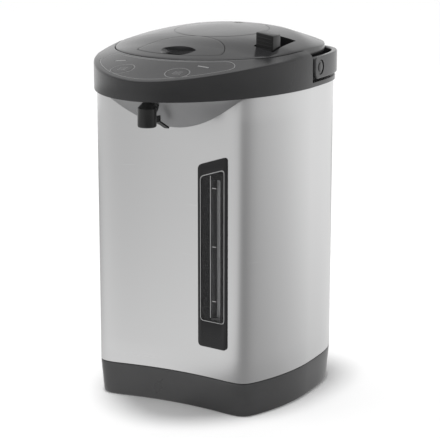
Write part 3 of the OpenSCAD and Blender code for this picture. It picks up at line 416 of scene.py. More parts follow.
def loft(name: str, rings: np.ndarray, loop: bool = False, fill: bool = True) -> Piece:
    """A skin over a row of rings, bent from a grid.

    Args:
        name: the piece's name.
        rings: points in millimetres, one row for each ring.
        loop: whether the last ring meets the first.
        fill: whether open ends are filled.

    Returns:
        The closed piece.
    """
    rings = np.concatenate([rings, rings[:, :1]], axis=1)
    if loop:
        rings = np.concatenate([rings, rings[:1]], axis=0)
    rows, columns = rings.shape[0] - 1, rings.shape[1] - 1
    deselect()
    bpy.ops.mesh.primitive_grid_add(x_subdivisions=columns, y_subdivisions=rows, size=2)
    piece = bpy.context.active_object
    piece.name = name
    flat = read_points(piece)
    i = np.rint((flat[:, 0] + 1) / 2 * columns).astype(int)
    j = np.rint((flat[:, 1] + 1) / 2 * rows).astype(int)
    write_points(piece, to_frame(rings[j, i]))
    close_mesh(piece, fill)
    return piece


def wrap(
    name: str, a: np.ndarray, profile: Iterable[Tuple[Numbers, float]], centre: Point = (0.0, 0.0, 0.0)
) -> Piece:
    """A closed skin round a centre, from its section.

    Args:
        name: the piece's name.
        a: the directions.
        profile: the radius in each direction, or one for all, and the height of each ring.
        centre: the middle in plan, with what is added to the heights.

    Returns:
        The piece.
    """
    rings = np.array([polar(a, r, z) for r, z in profile]) + centre
    return loft(name, rings, loop=True, fill=False)


def prism(name: str, outline: np.ndarray, low: float, high: float, along: str = "z") -> Piece:
    """An outline drawn out to a block.

    Args:
        name: the piece's name.
        outline: its corners in millimetres: x and y, or x and z along "y".
        low: where it starts.
        high: where it ends.
        along: the direction that it is drawn in, "z" or "y".

    Returns:
        The block.
    """
    deselect()
    bpy.ops.mesh.primitive_circle_add(vertices=len(outline), radius=1, fill_type="NGON")
    piece = bpy.context.active_object
    piece.name = name
    level = np.full(len(outline), low)
    columns = (outline[:, 0], outline[:, 1], level) if along == "z" else (outline[:, 0], level, outline[:, 1])
    write_points(piece, to_frame(np.stack(columns, axis=-1)))
    reach = (high - low) * MM
    bpy.ops.object.mode_set(mode="EDIT")
    bpy.ops.mesh.select_all(action="SELECT")
    move = (0, 0, reach) if along == "z" else (0, reach, 0)
    bpy.ops.mesh.extrude_region_move(TRANSFORM_OT_translate={"value": move})
    bpy.ops.mesh.select_all(action="SELECT")
    bpy.ops.mesh.normals_make_consistent(inside=False)
    bpy.ops.object.mode_set(mode="OBJECT")
    return piece


def box(name: str, low: Sequence[float], high: Sequence[float]) -> Piece:
    """A block between two corners, in millimetres.

    Args:
        name: the piece's name.
        low: its least x, y and z.
        high: its greatest x, y and z.

    Returns:
        The block.
    """
    lo, hi = to_frame(np.array(low, float)), to_frame(np.array(high, float))
    deselect()
    bpy.ops.mesh.primitive_cube_add(size=1, location=(lo + hi) / 2, scale=hi - lo)
    piece = bpy.context.active_object
    piece.name = name
    bpy.ops.object.transform_apply(location=True, rotation=True, scale=True)
    return piece


def rod(name: str, radius: float, start: Point, length: float, along: str = "z", sides: int = 96) -> Piece:
    """A round bar.

    Args:
        name: the piece's name.
        radius: its radius in millimetres.
        start: the middle of its first end.
        length: how long it is.
        along: "x", "y" or "z".
        sides: how many sides it has.

    Returns:
        The bar.
    """
    turn, step = {
        "x": ((0, math.pi / 2, 0), (1, 0, 0)),
        "y": ((-math.pi / 2, 0, 0), (0, 1, 0)),
        "z": ((0, 0, 0), (0, 0, 1)),
    }[along]
    middle = to_frame(np.array(start, float) + np.array(step) * length / 2)
    deselect()
    bpy.ops.mesh.primitive_cylinder_add(
        vertices=sides, radius=radius * MM, depth=length * MM, location=middle, rotation=turn
    )
    piece = bpy.context.active_object
    piece.name = name
    bpy.ops.object.transform_apply(location=True, rotation=True, scale=True)
    return piece


def combine(piece: Piece, tool: Piece, fit: Fit = Fit.CUT) -> Piece:
    """Cuts a piece with a tool, or keeps what lies inside it. The tool is used up.

    Args:
        piece: the piece.
        tool: the other shape.
        fit: whether it cuts or keeps.

    Returns:
        The piece.
    """
    change = piece.modifiers.new("fit", "BOOLEAN")
    change.operation = fit.value
    change.solver = "EXACT"
    change.object = tool
    pick(piece)
    bpy.ops.object.modifier_apply(modifier=change.name)
    bpy.data.objects.remove(tool)
    return piece


def soften_edges(piece: Piece, width: float, segments: int = 2, angle: float = 40) -> Piece:
    """Rounds a piece's sharp edges.

    Args:
        piece: the piece.
        width: how wide, in millimetres.
        segments: how many steps the rounding has.
        angle: the least angle between two faces that is rounded, in degrees.

    Returns:
        The piece.
    """
    change = piece.modifiers.new("edges", "BEVEL")
    change.width = width * MM
    change.segments = segments
    change.limit_method = "ANGLE"
    change.angle_limit = math.radians(angle)
    change.use_clamp_overlap = True
    pick(piece)
    bpy.ops.object.modifier_apply(modifier=change.name)
    return piece


def weld(first: Piece, *others: Piece) -> Piece:
    """Puts several shapes into one piece.

    Args:
        first: the shape that takes the others in.
        others: the shapes that join it.

    Returns:
        The first shape.
    """
    pick(first)
    for other in others:
        other.select_set(True)
    bpy.ops.object.join()
    return first


def smooth(piece: Piece, angle: float = 32) -> None:
    """Shades a piece smooth, apart from its edges."""
    pick(piece)
    bpy.ops.object.shade_smooth_by_angle(angle=math.radians(angle))


# ---------------------------------------------------------------- finishes


Colour = Tuple[float, float, float]
Tree = bpy.types.NodeTree
Node = bpy.types.Node
Socket = bpy.types.NodeSocket
Value = Union[float, Sequence[float], Socket]

WHITE = (1.0, 1.0, 1.0, 1.0)
MASK_MIDDLE: Pair = (0.3, 0.7)  # most of a noise mask lies between these


def feed(tree: Tree, socket: Socket, value: Value) -> None:
    """Links a socket to another one, or sets its own value.

    Args:
        tree: the nodes.
        socket: the input.
        value: an output, a number or a colour.
    """
    if isinstance(value, Socket):
        tree.links.new(value, socket)
    else:
        socket.default_value = value


def set_up(tree: Tree, node: Node, **values: Any) -> Node:
    """Sets a node up.

    Args:
        tree: the nodes that it is one of.
        node: the node.
        values: its settings in small letters, then its inputs with a capital and _ for a space.

    Returns:
        The node.
    """
    for label, value in values.items():
        if label.islower():
            setattr(node, label, value)
        else:
            feed(tree, node.inputs[label.replace("_", " ")], value)
    return node


def add(tree: Tree, kind: str, **values: Any) -> Node:
    """Adds a shader node of a kind and sets it up."""
    return set_up(tree, tree.nodes.new(f"ShaderNode{kind}"), **values)


def calculate(tree: Tree, operation: str, *values: Value) -> Socket:
    """What a sum on numbers and sockets comes to.

    Args:
        tree: the nodes.
        operation: the sum's name in a math node.
        values: what it works on.

    Returns:
        The result.
    """
    made = add(tree, "Math", operation=operation)
    for socket, value in zip(made.inputs, values):
        feed(tree, socket, value)
    return made.outputs[0]


def stretch(
    tree: Tree, value: Socket, start: float, end: float, low: float = 0.0, high: float = 1.0
) -> Socket:
    """Maps a value's run from start to end onto low to high."""
    made = add(tree, "MapRange", From_Min=start, From_Max=end, To_Min=low, To_Max=high, Value=value)
    return made.outputs[0]


def new_material(name: str) -> bpy.types.Material:
    """A new material with its shader.

    Args:
        name: the material's name.

    Returns:
        The material.
    """
    made = bpy.data.materials.new(name)
    made.use_nodes = True
    return made


class Groups:
    """The shader groups that several finishes share, each built once."""

    _made: Dict[str, Tree] = {}

    @classmethod
    def _start(cls, name: str, outputs: Sequence[str], **inputs: float) -> Tuple[Tree, Node, Node]:
        """A new group with float inputs and outputs, and its two end nodes.

        Args:
            name: the group's name.
            outputs: its outputs' names.
            inputs: its inputs and their values, with _ for a space.

        Returns:
            The group, its start and its end.
        """
        tree = bpy.data.node_groups.new(name, "ShaderNodeTree")
        for label, value in inputs.items():
            label = label.replace("_", " ")
            socket = tree.interface.new_socket(name=label, in_out="INPUT", socket_type="NodeSocketFloat")
            socket.default_value = value
        for label in outputs:
            tree.interface.new_socket(name=label, in_out="OUTPUT", socket_type="NodeSocketFloat")
        cls._made[name] = tree
        return tree, tree.nodes.new("NodeGroupInput"), tree.nodes.new("NodeGroupOutput")

    @classmethod
    def moulded_grain(cls) -> Tree:
        """Moulded plastic: a fine spark texture, and slow patches of polish.

        Returns:
            A group with Height and Patches, both about 0 to 1.
        """
        if "moulded_grain" in cls._made:
            return cls._made["moulded_grain"]
        tree, start, end = cls._start("moulded_grain", ("Height", "Patches"), Scale=1500.0, Patch_scale=30.0)
        place = add(tree, "TexCoord").outputs["Object"]
        for socket, output, detail in (("Scale", "Height", 2.0), ("Patch scale", "Patches", 3.0)):
            noise = add(tree, "TexNoise", Detail=detail, Vector=place, Scale=start.outputs[socket])
            tree.links.new(noise.outputs["Fac"], end.inputs[output])
        return tree

    @classmethod
    def brush_lines(cls) -> Tree:
        """Brushed metal: long level lines at two scales.

        Returns:
            A group with Fine and Broad, both about 0 to 1.
        """
        if "brush_lines" in cls._made:
            return cls._made["brush_lines"]
        tree, start, end = cls._start("brush_lines", ("Fine", "Broad"), Lines=900.0, Length=9.0)
        split = add(tree, "SeparateXYZ", Vector=add(tree, "TexCoord").outputs["Object"])
        along = start.outputs["Length"]
        for output, share in (("Fine", 1.0), ("Broad", 0.22)):
            rates = (along, along, calculate(tree, "MULTIPLY", start.outputs["Lines"], share))
            x, y, z = (calculate(tree, "MULTIPLY", place, rate) for place, rate in zip(split.outputs, rates))
            joined = add(tree, "CombineXYZ", X=x, Y=y, Z=z)
            noise = add(tree, "TexNoise", Scale=1.0, Detail=3.0, Vector=joined.outputs[0])
            tree.links.new(noise.outputs["Fac"], end.inputs[output])
        return tree


def darker(colour: Colour, share: float) -> Colour:
    """A colour at a share of its brightness."""
    return (colour[0] * share, colour[1] * share, colour[2] * share)


class Finish:
    """What a surface is made of. Each kind fills in its own nodes."""

    name: str
    colour: Colour

    def material(self) -> bpy.types.Material:
        """The finish's material, made when it is first asked for.

        Returns:
            The material.
        """
        found = bpy.data.materials.get(self.name)
        if found is not None:
            return found
        made = new_material(self.name)
        self.fill(made.node_tree, made.node_tree.nodes["Principled BSDF"])
        return made

    def fill(self, tree: Tree, shader: Node) -> None:
        """Sets the shader up."""
        raise NotImplementedError

    @staticmethod
    def grained(tree: Tree, **values: float) -> Tuple[Socket, Socket]:
        """The moulded grain's Height and Patches, with their own scales."""
        grain = add(tree, "Group", node_tree=Groups.moulded_grain(), **values)
        return grain.outputs["Height"], grain.outputs["Patches"]

    def vary(self, tree: Tree, shader: Node, mask: Socket, tones: Pair, cloud: Socket, polish: Pair) -> None:
        """Lets the colour and the roughness change over the surface.

        Args:
            tree: the material's nodes.
            shader: its shader.
            mask: what the colour's brightness follows.
            tones: the brightness's least and greatest share.
            cloud: what the roughness follows.
            polish: the least and the greatest roughness.
        """
        first, second = ((*darker(self.colour, share), 1) for share in tones)
        tone = add(tree, "Mix", data_type="RGBA", A=first, B=second, Factor=mask)
        rough = stretch(tree, cloud, *MASK_MIDDLE, *polish)
        set_up(tree, shader, Base_Color=tone.outputs["Result"], Roughness=rough)

    @staticmethod
    def emboss(tree: Tree, shader: Node, height: Socket, strength: float, depth: float) -> None:
        """Feeds a height into the shader's normal, depth in millimetres."""
        bump = add(tree, "Bump", Strength=strength, Distance=depth * MM, Height=height)
        set_up(tree, shader, Normal=bump.outputs[0])


@dataclass(frozen=True)
class Moulded(Finish):
    """Moulded plastic or rubber, with a fine grain and patches of polish."""

    name: str
    colour: Colour
    roughness: float = 0.4
    spread: float = 0.05
    grain: float = 1500.0
    relief: float = 0.25
    depth: float = 0.02
    tone: float = 0.06
    gloss: float = 0.5

    def fill(self, tree: Tree, shader: Node) -> None:
        """Sets the shader up.

        Args:
            tree: the material's nodes.
            shader: its shader.
        """
        height, patches = self.grained(tree, Scale=self.grain)
        tones = (1 - self.tone, 1 + self.tone)
        polish = (self.roughness - self.spread, self.roughness + self.spread)
        self.vary(tree, shader, stretch(tree, patches, *MASK_MIDDLE), tones, patches, polish)
        self.emboss(tree, shader, height, self.relief, self.depth)
        set_up(tree, shader, Specular_IOR_Level=self.gloss)


@dataclass(frozen=True)
class Brushed(Finish):
    """Sheet steel, brushed in level lines."""

    name: str
    colour: Colour = (0.68, 0.68, 0.682)
    roughness: float = 0.27
    spread: float = 0.004
    lines: float = 1600.0
    anisotropy: float = 0.5
    turn: float = 0.25
    tone: float = 0.004

    def fill(self, tree: Tree, shader: Node) -> None:
        """Sets the shader up.

        Args:
            tree: the material's nodes.
            shader: its shader.
        """
        brushed = add(tree, "Group", node_tree=Groups.brush_lines(), Lines=self.lines).outputs
        half = calculate(tree, "MULTIPLY", brushed["Broad"], 0.5)
        both = calculate(tree, "MULTIPLY_ADD", brushed["Fine"], 0.5, half)
        tones = (1 - self.tone, 1 + self.tone)
        polish = (self.roughness - self.spread, self.roughness + self.spread)
        self.vary(tree, shader, stretch(tree, both, *MASK_MIDDLE), tones, both, polish)
        set_up(tree, shader, Metallic=1.0, Anisotropic=self.anisotropy, Anisotropic_Rotation=self.turn)


@dataclass(frozen=True)
class PlainMetal(Finish):
    """Drawn, turned or cast metal, with a faint cloud in its polish."""

    name: str
    colour: Colour = (0.62, 0.62, 0.63)
    roughness: float = 0.28
    spread: float = 0.06
    grain: float = 600.0
    relief: float = 0.08
    depth: float = 0.01
    tones: Pair = (0.94, 1.06)

    def fill(self, tree: Tree, shader: Node) -> None:
        """Sets the shader up.

        Args:
            tree: the material's nodes.
            shader: its shader.
        """
        height, patches = self.grained(tree, Scale=self.grain)
        polish = (self.roughness - self.spread, self.roughness + self.spread)
        self.vary(tree, shader, patches, self.tones, patches, polish)
        self.emboss(tree, shader, height, self.relief, self.depth)
        set_up(tree, shader, Metallic=1.0)


@dataclass(frozen=True)
class Lacquer(Finish):
    """Metallic lacquer over plastic."""

    name: str
    colour: Colour
    roughness: float = 0.36
    spread: float = 0.02
    flake: float = 0.6
    grain: float = 2200.0
    relief: float = 0.1
    depth: float = 0.004
    tones: Pair = (0.97, 1.03)

    def fill(self, tree: Tree, shader: Node) -> None:
        """Sets the shader up.

        Args:
            tree: the material's nodes.
            shader: its shader.
        """
        height, patches = self.grained(tree, Scale=self.grain)
        polish = (self.roughness - self.spread, self.roughness + self.spread)
        self.vary(tree, shader, height, self.tones, patches, polish)
        self.emboss(tree, shader, height, self.relief, self.depth)
        set_up(tree, shader, Metallic=self.flake)


@dataclass(frozen=True)
class Pane(Finish):
    """A clear, faintly smoked pane that is looked through."""

    name: str
    colour: Colour = (0.02, 0.02, 0.021)
    cover: float = 0.22
    grain: float = 300.0
    tones: Pair = (0.95, 1.0)
    polish: Pair = (0.03, 0.06)

    def fill(self, tree: Tree, shader: Node) -> None:
        """Sets the shader up.

        Args:
            tree: the material's nodes.
            shader: its shader.
        """
        patches = self.grained(tree, Scale=self.grain)[1]
        self.vary(tree, shader, patches, self.tones, patches, self.polish)
        set_up(tree, shader, Alpha=self.cover)


@dataclass(frozen=True)
class Clear(Finish):
    """Clear plastic or glass."""

    name: str
    colour: Colour = (0.9, 0.93, 0.94)
    roughness: float = 0.05
    spread: float = 0.01
    transmission: float = 1.0
    ior: float = 1.45
    grain: float = 300.0
    tones: Pair = (0.98, 1.0)

    def fill(self, tree: Tree, shader: Node) -> None:
        """Sets the shader up.

        Args:
            tree: the material's nodes.
            shader: its shader.
        """
        patches = self.grained(tree, Scale=self.grain)[1]
        self.vary(tree, shader, patches, self.tones, patches, (self.roughness, self.roughness + self.spread))
        set_up(tree, shader, Transmission_Weight=self.transmission, IOR=self.ior)


@dataclass(frozen=True)
class Wadding(Finish):
    """A mat of loose fibres."""

    name: str
    colour: Colour = (0.72, 0.70, 0.62)
    grain: float = 420.0
    clumps: float = 90.0
    relief: float = 0.8
    depth: float = 0.6
    tones: Pair = (0.75, 1.1)
    polish: Pair = (0.85, 0.98)

    def fill(self, tree: Tree, shader: Node) -> None:
        """Sets the shader up.

        Args:
            tree: the material's nodes.
            shader: its shader.
        """
        height, patches = self.grained(tree, Scale=self.grain, Patch_scale=self.clumps)
        self.vary(tree, shader, height, self.tones, patches, self.polish)
        self.emboss(tree, shader, height, self.relief, self.depth)


@dataclass(frozen=True)
class CircuitBoard(Finish):
    """Green solder mask over straight copper tracks."""

    name: str
    colour: Colour = (0.02, 0.14, 0.05)
    track: Colour = (0.05, 0.24, 0.09)
    scale: float = 90.0
    gap: float = 0.03
    contrast: float = 1.15
    grain: float = 800.0
    relief: float = 0.2
    depth: float = 0.05
    polish: Pair = (0.25, 0.4)

    def fill(self, tree: Tree, shader: Node) -> None:
        """Sets the shader up.

        Args:
            tree: the material's nodes.
            shader: its shader.
        """
        place = add(tree, "TexCoord").outputs["Object"]
        first, second, line = ((*c, 1) for c in (self.colour, darker(self.colour, self.contrast), self.track))
        tracks = add(tree, "TexBrick", Scale=self.scale, Mortar_Size=self.gap, Color1=first, Color2=second)
        set_up(tree, tracks, Mortar=line, Vector=place)
        patches = self.grained(tree, Scale=self.grain)[1]
        rough = stretch(tree, patches, *MASK_MIDDLE, *self.polish)
        set_up(tree, shader, Base_Color=tracks.outputs["Color"], Roughness=rough)
        self.emboss(tree, shader, tracks.outputs["Fac"], self.relief, self.depth)


STEEL = Brushed("brushed_steel")
INNER_STEEL = PlainMetal("drawn_steel", colour=(0.60, 0.60, 0.61), roughness=0.3)
BOLT_STEEL = PlainMetal("bolt_steel", colour=(0.55, 0.55, 0.56), roughness=0.35)
HEATER = PlainMetal("cast_aluminium", colour=(0.50, 0.50, 0.51), roughness=0.45, spread=0.1)
BAND = PlainMetal("heater_band", colour=(0.42, 0.33, 0.20), roughness=0.4)
BRASS = PlainMetal("pin_brass", colour=(0.70, 0.58, 0.30), roughness=0.25)
COLLAR = Moulded("collar_plastic", (0.023, 0.023, 0.024), roughness=0.22, spread=0.02, depth=0.008)
LID = Moulded("lid_plastic", (0.024, 0.024, 0.025), roughness=0.18, spread=0.02, depth=0.006)
BASE = Moulded("base_plastic", (0.056, 0.056, 0.057), roughness=0.30, spread=0.03, depth=0.015)
BAIL = Moulded("bail_plastic", (0.030, 0.030, 0.031), roughness=0.22, spread=0.02, depth=0.008)
LEVER = Moulded("lever_plastic", (0.008, 0.008, 0.008), roughness=0.3, spread=0.02, depth=0.006, gloss=0.35)
LEVER_SPOUT = Moulded("cup_lever_plastic", (0.005, 0.005, 0.005), roughness=0.5)
FILM = Moulded("panel_film", (0.022, 0.022, 0.023), roughness=0.2, spread=0.02, depth=0.005)
BLACK = Moulded("black_plastic", (0.012, 0.012, 0.013), roughness=0.34)
SPOUT_BLACK = Moulded("spout_plastic", (0.008, 0.008, 0.008), roughness=0.2, spread=0.03, depth=0.008)
DARK_GLOSS = Moulded(
    "gauge_plastic", (0.010, 0.010, 0.011), roughness=0.2, spread=0.03, depth=0.006, gloss=0.32
)
TRAY = Moulded("gauge_tray", (0.20, 0.20, 0.205), roughness=0.4)
SILVER = Lacquer("silver_lacquer", (0.27, 0.27, 0.274))
PRINT = Moulded("light_print", (0.42, 0.42, 0.42), roughness=0.45, depth=0.004)
# Light print on the panel; it also colours the painted highlight along the film's edge.
PANEL_PRINT_AND_HIGHLIGHT = Moulded("panel_print_and_highlight", (0.17, 0.17, 0.172), roughness=0.3, depth=0.004)
# A lighter copy of the lever's plastic for its ribs: partly painted highlight.
HIGHLIT_RIB = Moulded("lever_grip", (0.016, 0.016, 0.016), roughness=0.34, depth=0.01, gloss=0.4)
BARS = Moulded("indicator_bars", (0.20, 0.20, 0.202), roughness=0.3, depth=0.004)
LIGHT_PLASTIC = Moulded("light_plastic", (0.62, 0.62, 0.60), roughness=0.4)
RUBBER = Moulded("black_rubber", (0.018, 0.018, 0.018), roughness=0.7, depth=0.04)
SILICONE = Moulded("pale_silicone", (0.68, 0.68, 0.66), roughness=0.5, depth=0.02)
VALVE = Moulded("red_silicone", (0.55, 0.12, 0.07), roughness=0.55)
WINDOW = Pane("gauge_window")
TUBE = Clear("gauge_tube", colour=(0.85, 0.86, 0.87), roughness=0.15, transmission=0.1)
MAT = Wadding("fibre_mat")
BOARD = CircuitBoard("board_green")


def settle(
    piece: Piece,
    body: str,
    finish: Finish,
    replaces: Sequence[str] = (),
) -> Piece:
    """Dresses a finished piece and sets it on its body.

    Args:
        piece: the piece, in place.
        body: the body that it rides on.
        finish: what it is made of.
        replaces: the frame's nodes that it stands for.

    Returns:
        The piece.
    """
    if not piece.data.materials:
        piece.data.materials.append(finish.material())
    piece.data.name = piece.name
    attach(piece, body)
    if replaces:
        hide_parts(*replaces)
    log.info("%s: %d faces, on %s", piece.name, len(piece.data.polygons), body)
    return piece


# ---------------------------------------------------------------- body


@dataclass
class SteelBody:
    """The brushed steel sleeve with its hollow front and two rounded corners."""

    thickness: float = 0.8
    hem: float = 0.35
    foot: float = 0.4
    gauge_slot: Block = ((41.2, -130, 91.7), (55.8, -60, 234.3))
    hose_way: Block = ((-4, -130, 291), (46, -60, 330))
    sides: int = 960

    def build(self) -> None:
        """Makes the sleeve and its slots."""
        a = around(self.sides)
        low, high, t, h = SHAPE.seam + self.foot, SHAPE.top, self.thickness, self.hem
        levels = np.linspace(low + h, high - h, 12)
        profile = [(-h, low), (-h * 0.3, low + h * 0.3)]
        profile += [(0.0, z) for z in levels]
        profile += [(-h * 0.3, high - h * 0.3), (-h, high), (-t, high)]
        profile += [(-t, z) for z in levels[::-1]]
        profile += [(-t, low)]
        sleeve = wrap("steel_sleeve", a, ((SHAPE.body(a, inset), z) for inset, z in profile))
        combine(sleeve, box("slot", *self.gauge_slot))
        combine(sleeve, box("hose_way", *self.hose_way))
        smooth(sleeve)
        settle(sleeve, "body", STEEL, ["outer_shell"])


@dataclass
class Base:
    """The dark base, drawn in towards the floor."""

    wall: float = 2.5
    foot: float = 0.1
    profile: Tuple[Pair, ...] = (
        (4.4, 0.0),
        (3.2, 0.4),
        (2.6, 1.8),
        (2.2, 5.0),
        (1.8, 10.0),
        (1.3, 17.0),
        (0.6, 25.0),
        (0.15, 31.0),
    )
    inlet_way: Block = ((-15.3, 85, 9.7), (15.3, 115, 28.3))
    sides: int = 720

    def build(self) -> None:
        """Makes the base with its way for the power inlet."""
        a = around(self.sides)
        outer = curve_through(self.profile, 40)
        top = SHAPE.seam - self.foot
        outer = np.concatenate([outer, bend((0.1, top - 0.6), (0.05, top - 0.1), (0.9, top - 0.1), 4)])
        inner = np.array([(inset + self.wall, max(h, 1.5)) for inset, h in outer[::-4]])
        inner[0] = (self.wall, top - 0.1)
        profile = ((SHAPE.body(a, -inset), self.foot + h) for inset, h in [*outer, *inner])
        base = wrap("base_tub", a, profile)
        combine(base, box("inlet_way", *self.inlet_way))
        smooth(base)
        settle(base, "body", BASE, ["base_shell"])


@dataclass
class Chin:
    """The scooped lacquered piece below the beak."""

    half: float = 76.0
    margin: float = 4.0
    scoop: float = 1.15
    depth: float = 34.0
    thickness: float = 2.0
    edge: float = 1.3
    neck: float = 3.3
    hole_low: float = 249.0
    hole_reach: float = 70.0
    pipe_room: float = 0.25
    lever_slot: Block = ((-10, -122.5, 249), (-6.2, -111.5, 319))
    columns: int = 160
    rows: int = 40

    def underside(self, x: np.ndarray, t: np.ndarray) -> np.ndarray:
        """A point of the scoop, from the steel face at t = 0 to the beak's edge at t = 1.

        Args:
            x: across.
            t: how far along the scoop.

        Returns:
            x, y and z of each point.
        """
        low = self.depth * np.maximum(1 - (x / (self.half + self.margin)) ** 2, 0) ** self.scoop
        y0 = SHAPE.face_y(x) - 0.05
        y = y0 + t * (SHAPE.beak_y(x, self.edge) - y0)
        return np.stack([x, y, SHAPE.top - low * (1 - t) ** 2], axis=-1)

    def build(self, spout: "Spout") -> None:
        """Makes the scoop and the openings for the nozzle, the pipe and the cup lever.

        Args:
            spout: the spout that passes through it.
        """
        xs = np.linspace(-self.half, self.half, self.columns)
        ts = np.linspace(0, 1, self.rows)
        sections = []
        for x in xs:
            low = self.underside(np.full(ts.shape, x), ts)
            sections.append(np.concatenate([low, low[::-1] + (0, 0, self.thickness)]))
        chin = loft("chin_scoop", np.array(sections))
        combine(chin, rod("hole", self.neck, (0, spout.y, self.hole_low), self.hole_reach))
        combine(chin, spout.elbow("way", self.pipe_room))
        combine(chin, box("slot", *self.lever_slot))
        smooth(chin, 40)
        settle(chin, "body", SILVER, ["chin_cover"])


# ---------------------------------------------------------------- collar


@dataclass
class Collar:
    """The dark beaked collar: rim, crown, lid seat, deck and the bail's channel."""

    lip: float = 1.5
    wall: float = 2.5
    channel_y: float = -1.5
    channel_z: float = 313.6
    floor: float = 312.0
    well: float = 6.0
    deck_hold: float = 3.0
    edge_round: float = 1.1
    bridge_y: float = 82.5
    bridge_low: float = 338.0
    rim_round: float = 2.2
    side_round: float = 5.5
    side_reach: float = 24.0
    lid_wall: float = 1.5
    roof: float = 3.0
    boss_radius: float = 7.5
    boss_reach: float = 8.6
    bosses: Tuple[Point, ...] = ((94, 13.5, 327), (-102.6, 13.5, 327))
    post: Block = ((-9.7, 77.2, 314), (9.7, 86.2, 347))
    knuckle_radius: float = 5.0
    keeper: Tuple[Block, ...] = (((74, -14, 314), (80, -9, 326)), ((74, -17, 322), (80, -9, 326)))
    sides: int = 840
    crown_steps: int = 22

    def fillet(self, degrees: float) -> float:
        """How broad the rim's rounding is: crisp on the beak, broad beside the bail's ears."""
        off = abs(degrees) if degrees > -90 else abs(degrees + 180)
        return self.rim_round + (self.side_round - self.rim_round) * math.exp(-((off / self.side_reach) ** 2))

    def profile(self, a: float, channel: bool) -> np.ndarray:
        """The collar's closed section in one direction.

        Args:
            a: the direction in radians.
            channel: whether the bail's channel is cut there.

        Returns:
            Radius and height of each point, always as many.
        """
        d = np.array([a])
        out = float(SHAPE.oval(d, self.lip)[0])
        insets = (0.0, -SHAPE.lid_gap, self.well, -self.lid_wall, self.deck_hold)
        lid0, gap, well, outer_wall, hold = (float(SHAPE.lid(d, inset)[0]) for inset in insets)

        def crown(r: Numbers) -> np.ndarray:
            """Height of the crown at a radius."""
            return SHAPE.crown(r * math.cos(a), r * math.sin(a))

        foot = [(out - 0.5, SHAPE.top), (out - 0.12, SHAPE.top + 0.12), (out, SHAPE.top + 0.5)]
        n = self.crown_steps
        if not channel:
            f = self.fillet(math.degrees(math.atan2(math.sin(a), math.cos(a))))
            rim = float(crown(out - f))
            slope = float(crown(out - f - 1)) - rim
            corner = (out, rim - slope * f * 0.8)
            edge = bend((out, corner[1] - f), corner, (out - f, rim), 9)
            e = self.edge_round
            r = np.linspace(out - f, gap + e, n + 1)[1:]
            top = np.stack([r, crown(r)], axis=-1)
            lip = bend((gap + e, top[-1, 1]), (gap, top[-1, 1]), (gap, top[-1, 1] - e), 4)[1:]
            inside = [(gap, SHAPE.seat), (well + 0.5, SHAPE.seat), (well, SHAPE.seat - 0.5)]
            hollow = [
                (outer_wall, self.floor),
                (outer_wall, float(crown(outer_wall)) - self.roof),
                (out - self.wall, min(rim, corner[1]) - self.roof),
                (out - self.wall, SHAPE.top),
            ]
        else:
            edge = bend((out, self.channel_z - 0.8), (out, self.channel_z), (out - 0.8, self.channel_z), 9)
            floor = [(out - 0.8 + (lid0 + 0.8 - out) * k / 6, self.channel_z) for k in range(1, 7)]
            bridge = self.bridge_y / max(math.sin(a), 1e-6)
            if math.sin(a) > 0 and bridge < lid0 - 0.8:
                up = float(crown(lid0 - 1.0))
                wall = [(lid0, self.channel_z + (up - 1.0 - self.channel_z) * k / 6) for k in range(1, 7)]
                over = bend((lid0, up - 1.0), (lid0, up + 0.1), (lid0 - 1.0, up), 5)[1:]
                r = np.linspace(lid0 - 1.0, bridge + 0.4, n - 15)[1:]
                top = np.array([*floor, *wall, *over, *np.stack([r, crown(r)], axis=-1)])
                drops = (top[-1, 1] - 0.4, self.bridge_low + 1, self.bridge_low)
                lip = np.array([(bridge, z) for z in drops])
                inside = [(well, self.bridge_low), (well, self.bridge_low - 1), (well, SHAPE.seat - 0.5)]
            else:
                depth = SHAPE.seat - self.channel_z
                wall = [(lid0, self.channel_z + depth * k / (n - 6)) for k in range(1, n - 5)]
                top = np.array([*floor, *wall])
                lip = np.array([(lid0 - 0.3 * k, SHAPE.seat) for k in (1, 2, 3)])
                inside = [(well + 1.0, SHAPE.seat), (well + 0.5, SHAPE.seat), (well, SHAPE.seat - 0.5)]
            hollow = [
                (outer_wall, self.floor),
                (outer_wall + 0.5, self.floor),
                (out - self.wall, self.floor),
                (out - self.wall, SHAPE.top),
            ]
        bed = [(well, SHAPE.deck), (hold, SHAPE.deck), (hold, self.floor + 1), (hold, self.floor)]
        return np.array([*foot, *edge, *top, *lip, *inside, *bed, *hollow])

    def skin(self) -> Piece:
        """The collar's skin, with a clean step where the channel starts.

        Returns:
            The closed skin.
        """
        turn = math.degrees(math.atan2(self.channel_y, SHAPE.half_width))
        extra = [turn - 0.02, turn + 0.02, 180 - turn - 0.02, 180 - turn + 0.02]
        angles = around(self.sides, extra)
        columns = []
        for a in angles:
            degrees = math.degrees(a)
            channel = (degrees > 360 + turn) or (degrees < 180 - turn)
            section = self.profile(a, channel)
            columns.append(polar(a, section[:, 0], section[:, 1]))
        rings = np.swapaxes(np.array(columns), 0, 1)
        return loft("collar_beak", rings, loop=True, fill=False)

    def fittings(self) -> List[Piece]:
        """The bail's bosses and the hinge knuckle.

        Returns:
            The bosses, the post and the barrel.
        """
        half = self.post[1][0]
        barrel = (-half, SHAPE.hinge_y, SHAPE.hinge_z)
        return [
            *(rod("boss", self.boss_radius, place, self.boss_reach, "x") for place in self.bosses),
            soften_edges(box("post", *self.post), 0.6),
            rod("barrel", self.knuckle_radius, barrel, 2 * half, "x"),
        ]

    def deck(self) -> None:
        """Makes the deck round the tank's mouth, with the keeper of the lid's latch."""
        a = around(360)
        rim, mouth = SHAPE.lid(a, self.deck_hold), SHAPE.mouth(a)
        low, high, e = self.floor, SHAPE.deck, 0.6
        section = [(rim, low), (rim, high), (mouth + e, high), (mouth, high - e), (mouth, low)]
        ring = wrap("deck_ring", a, section)
        smooth(ring, 30)
        weld(ring, *(soften_edges(box("keeper", *block), 0.4) for block in self.keeper))
        settle(ring, "body", COLLAR, ["tank_deck"])

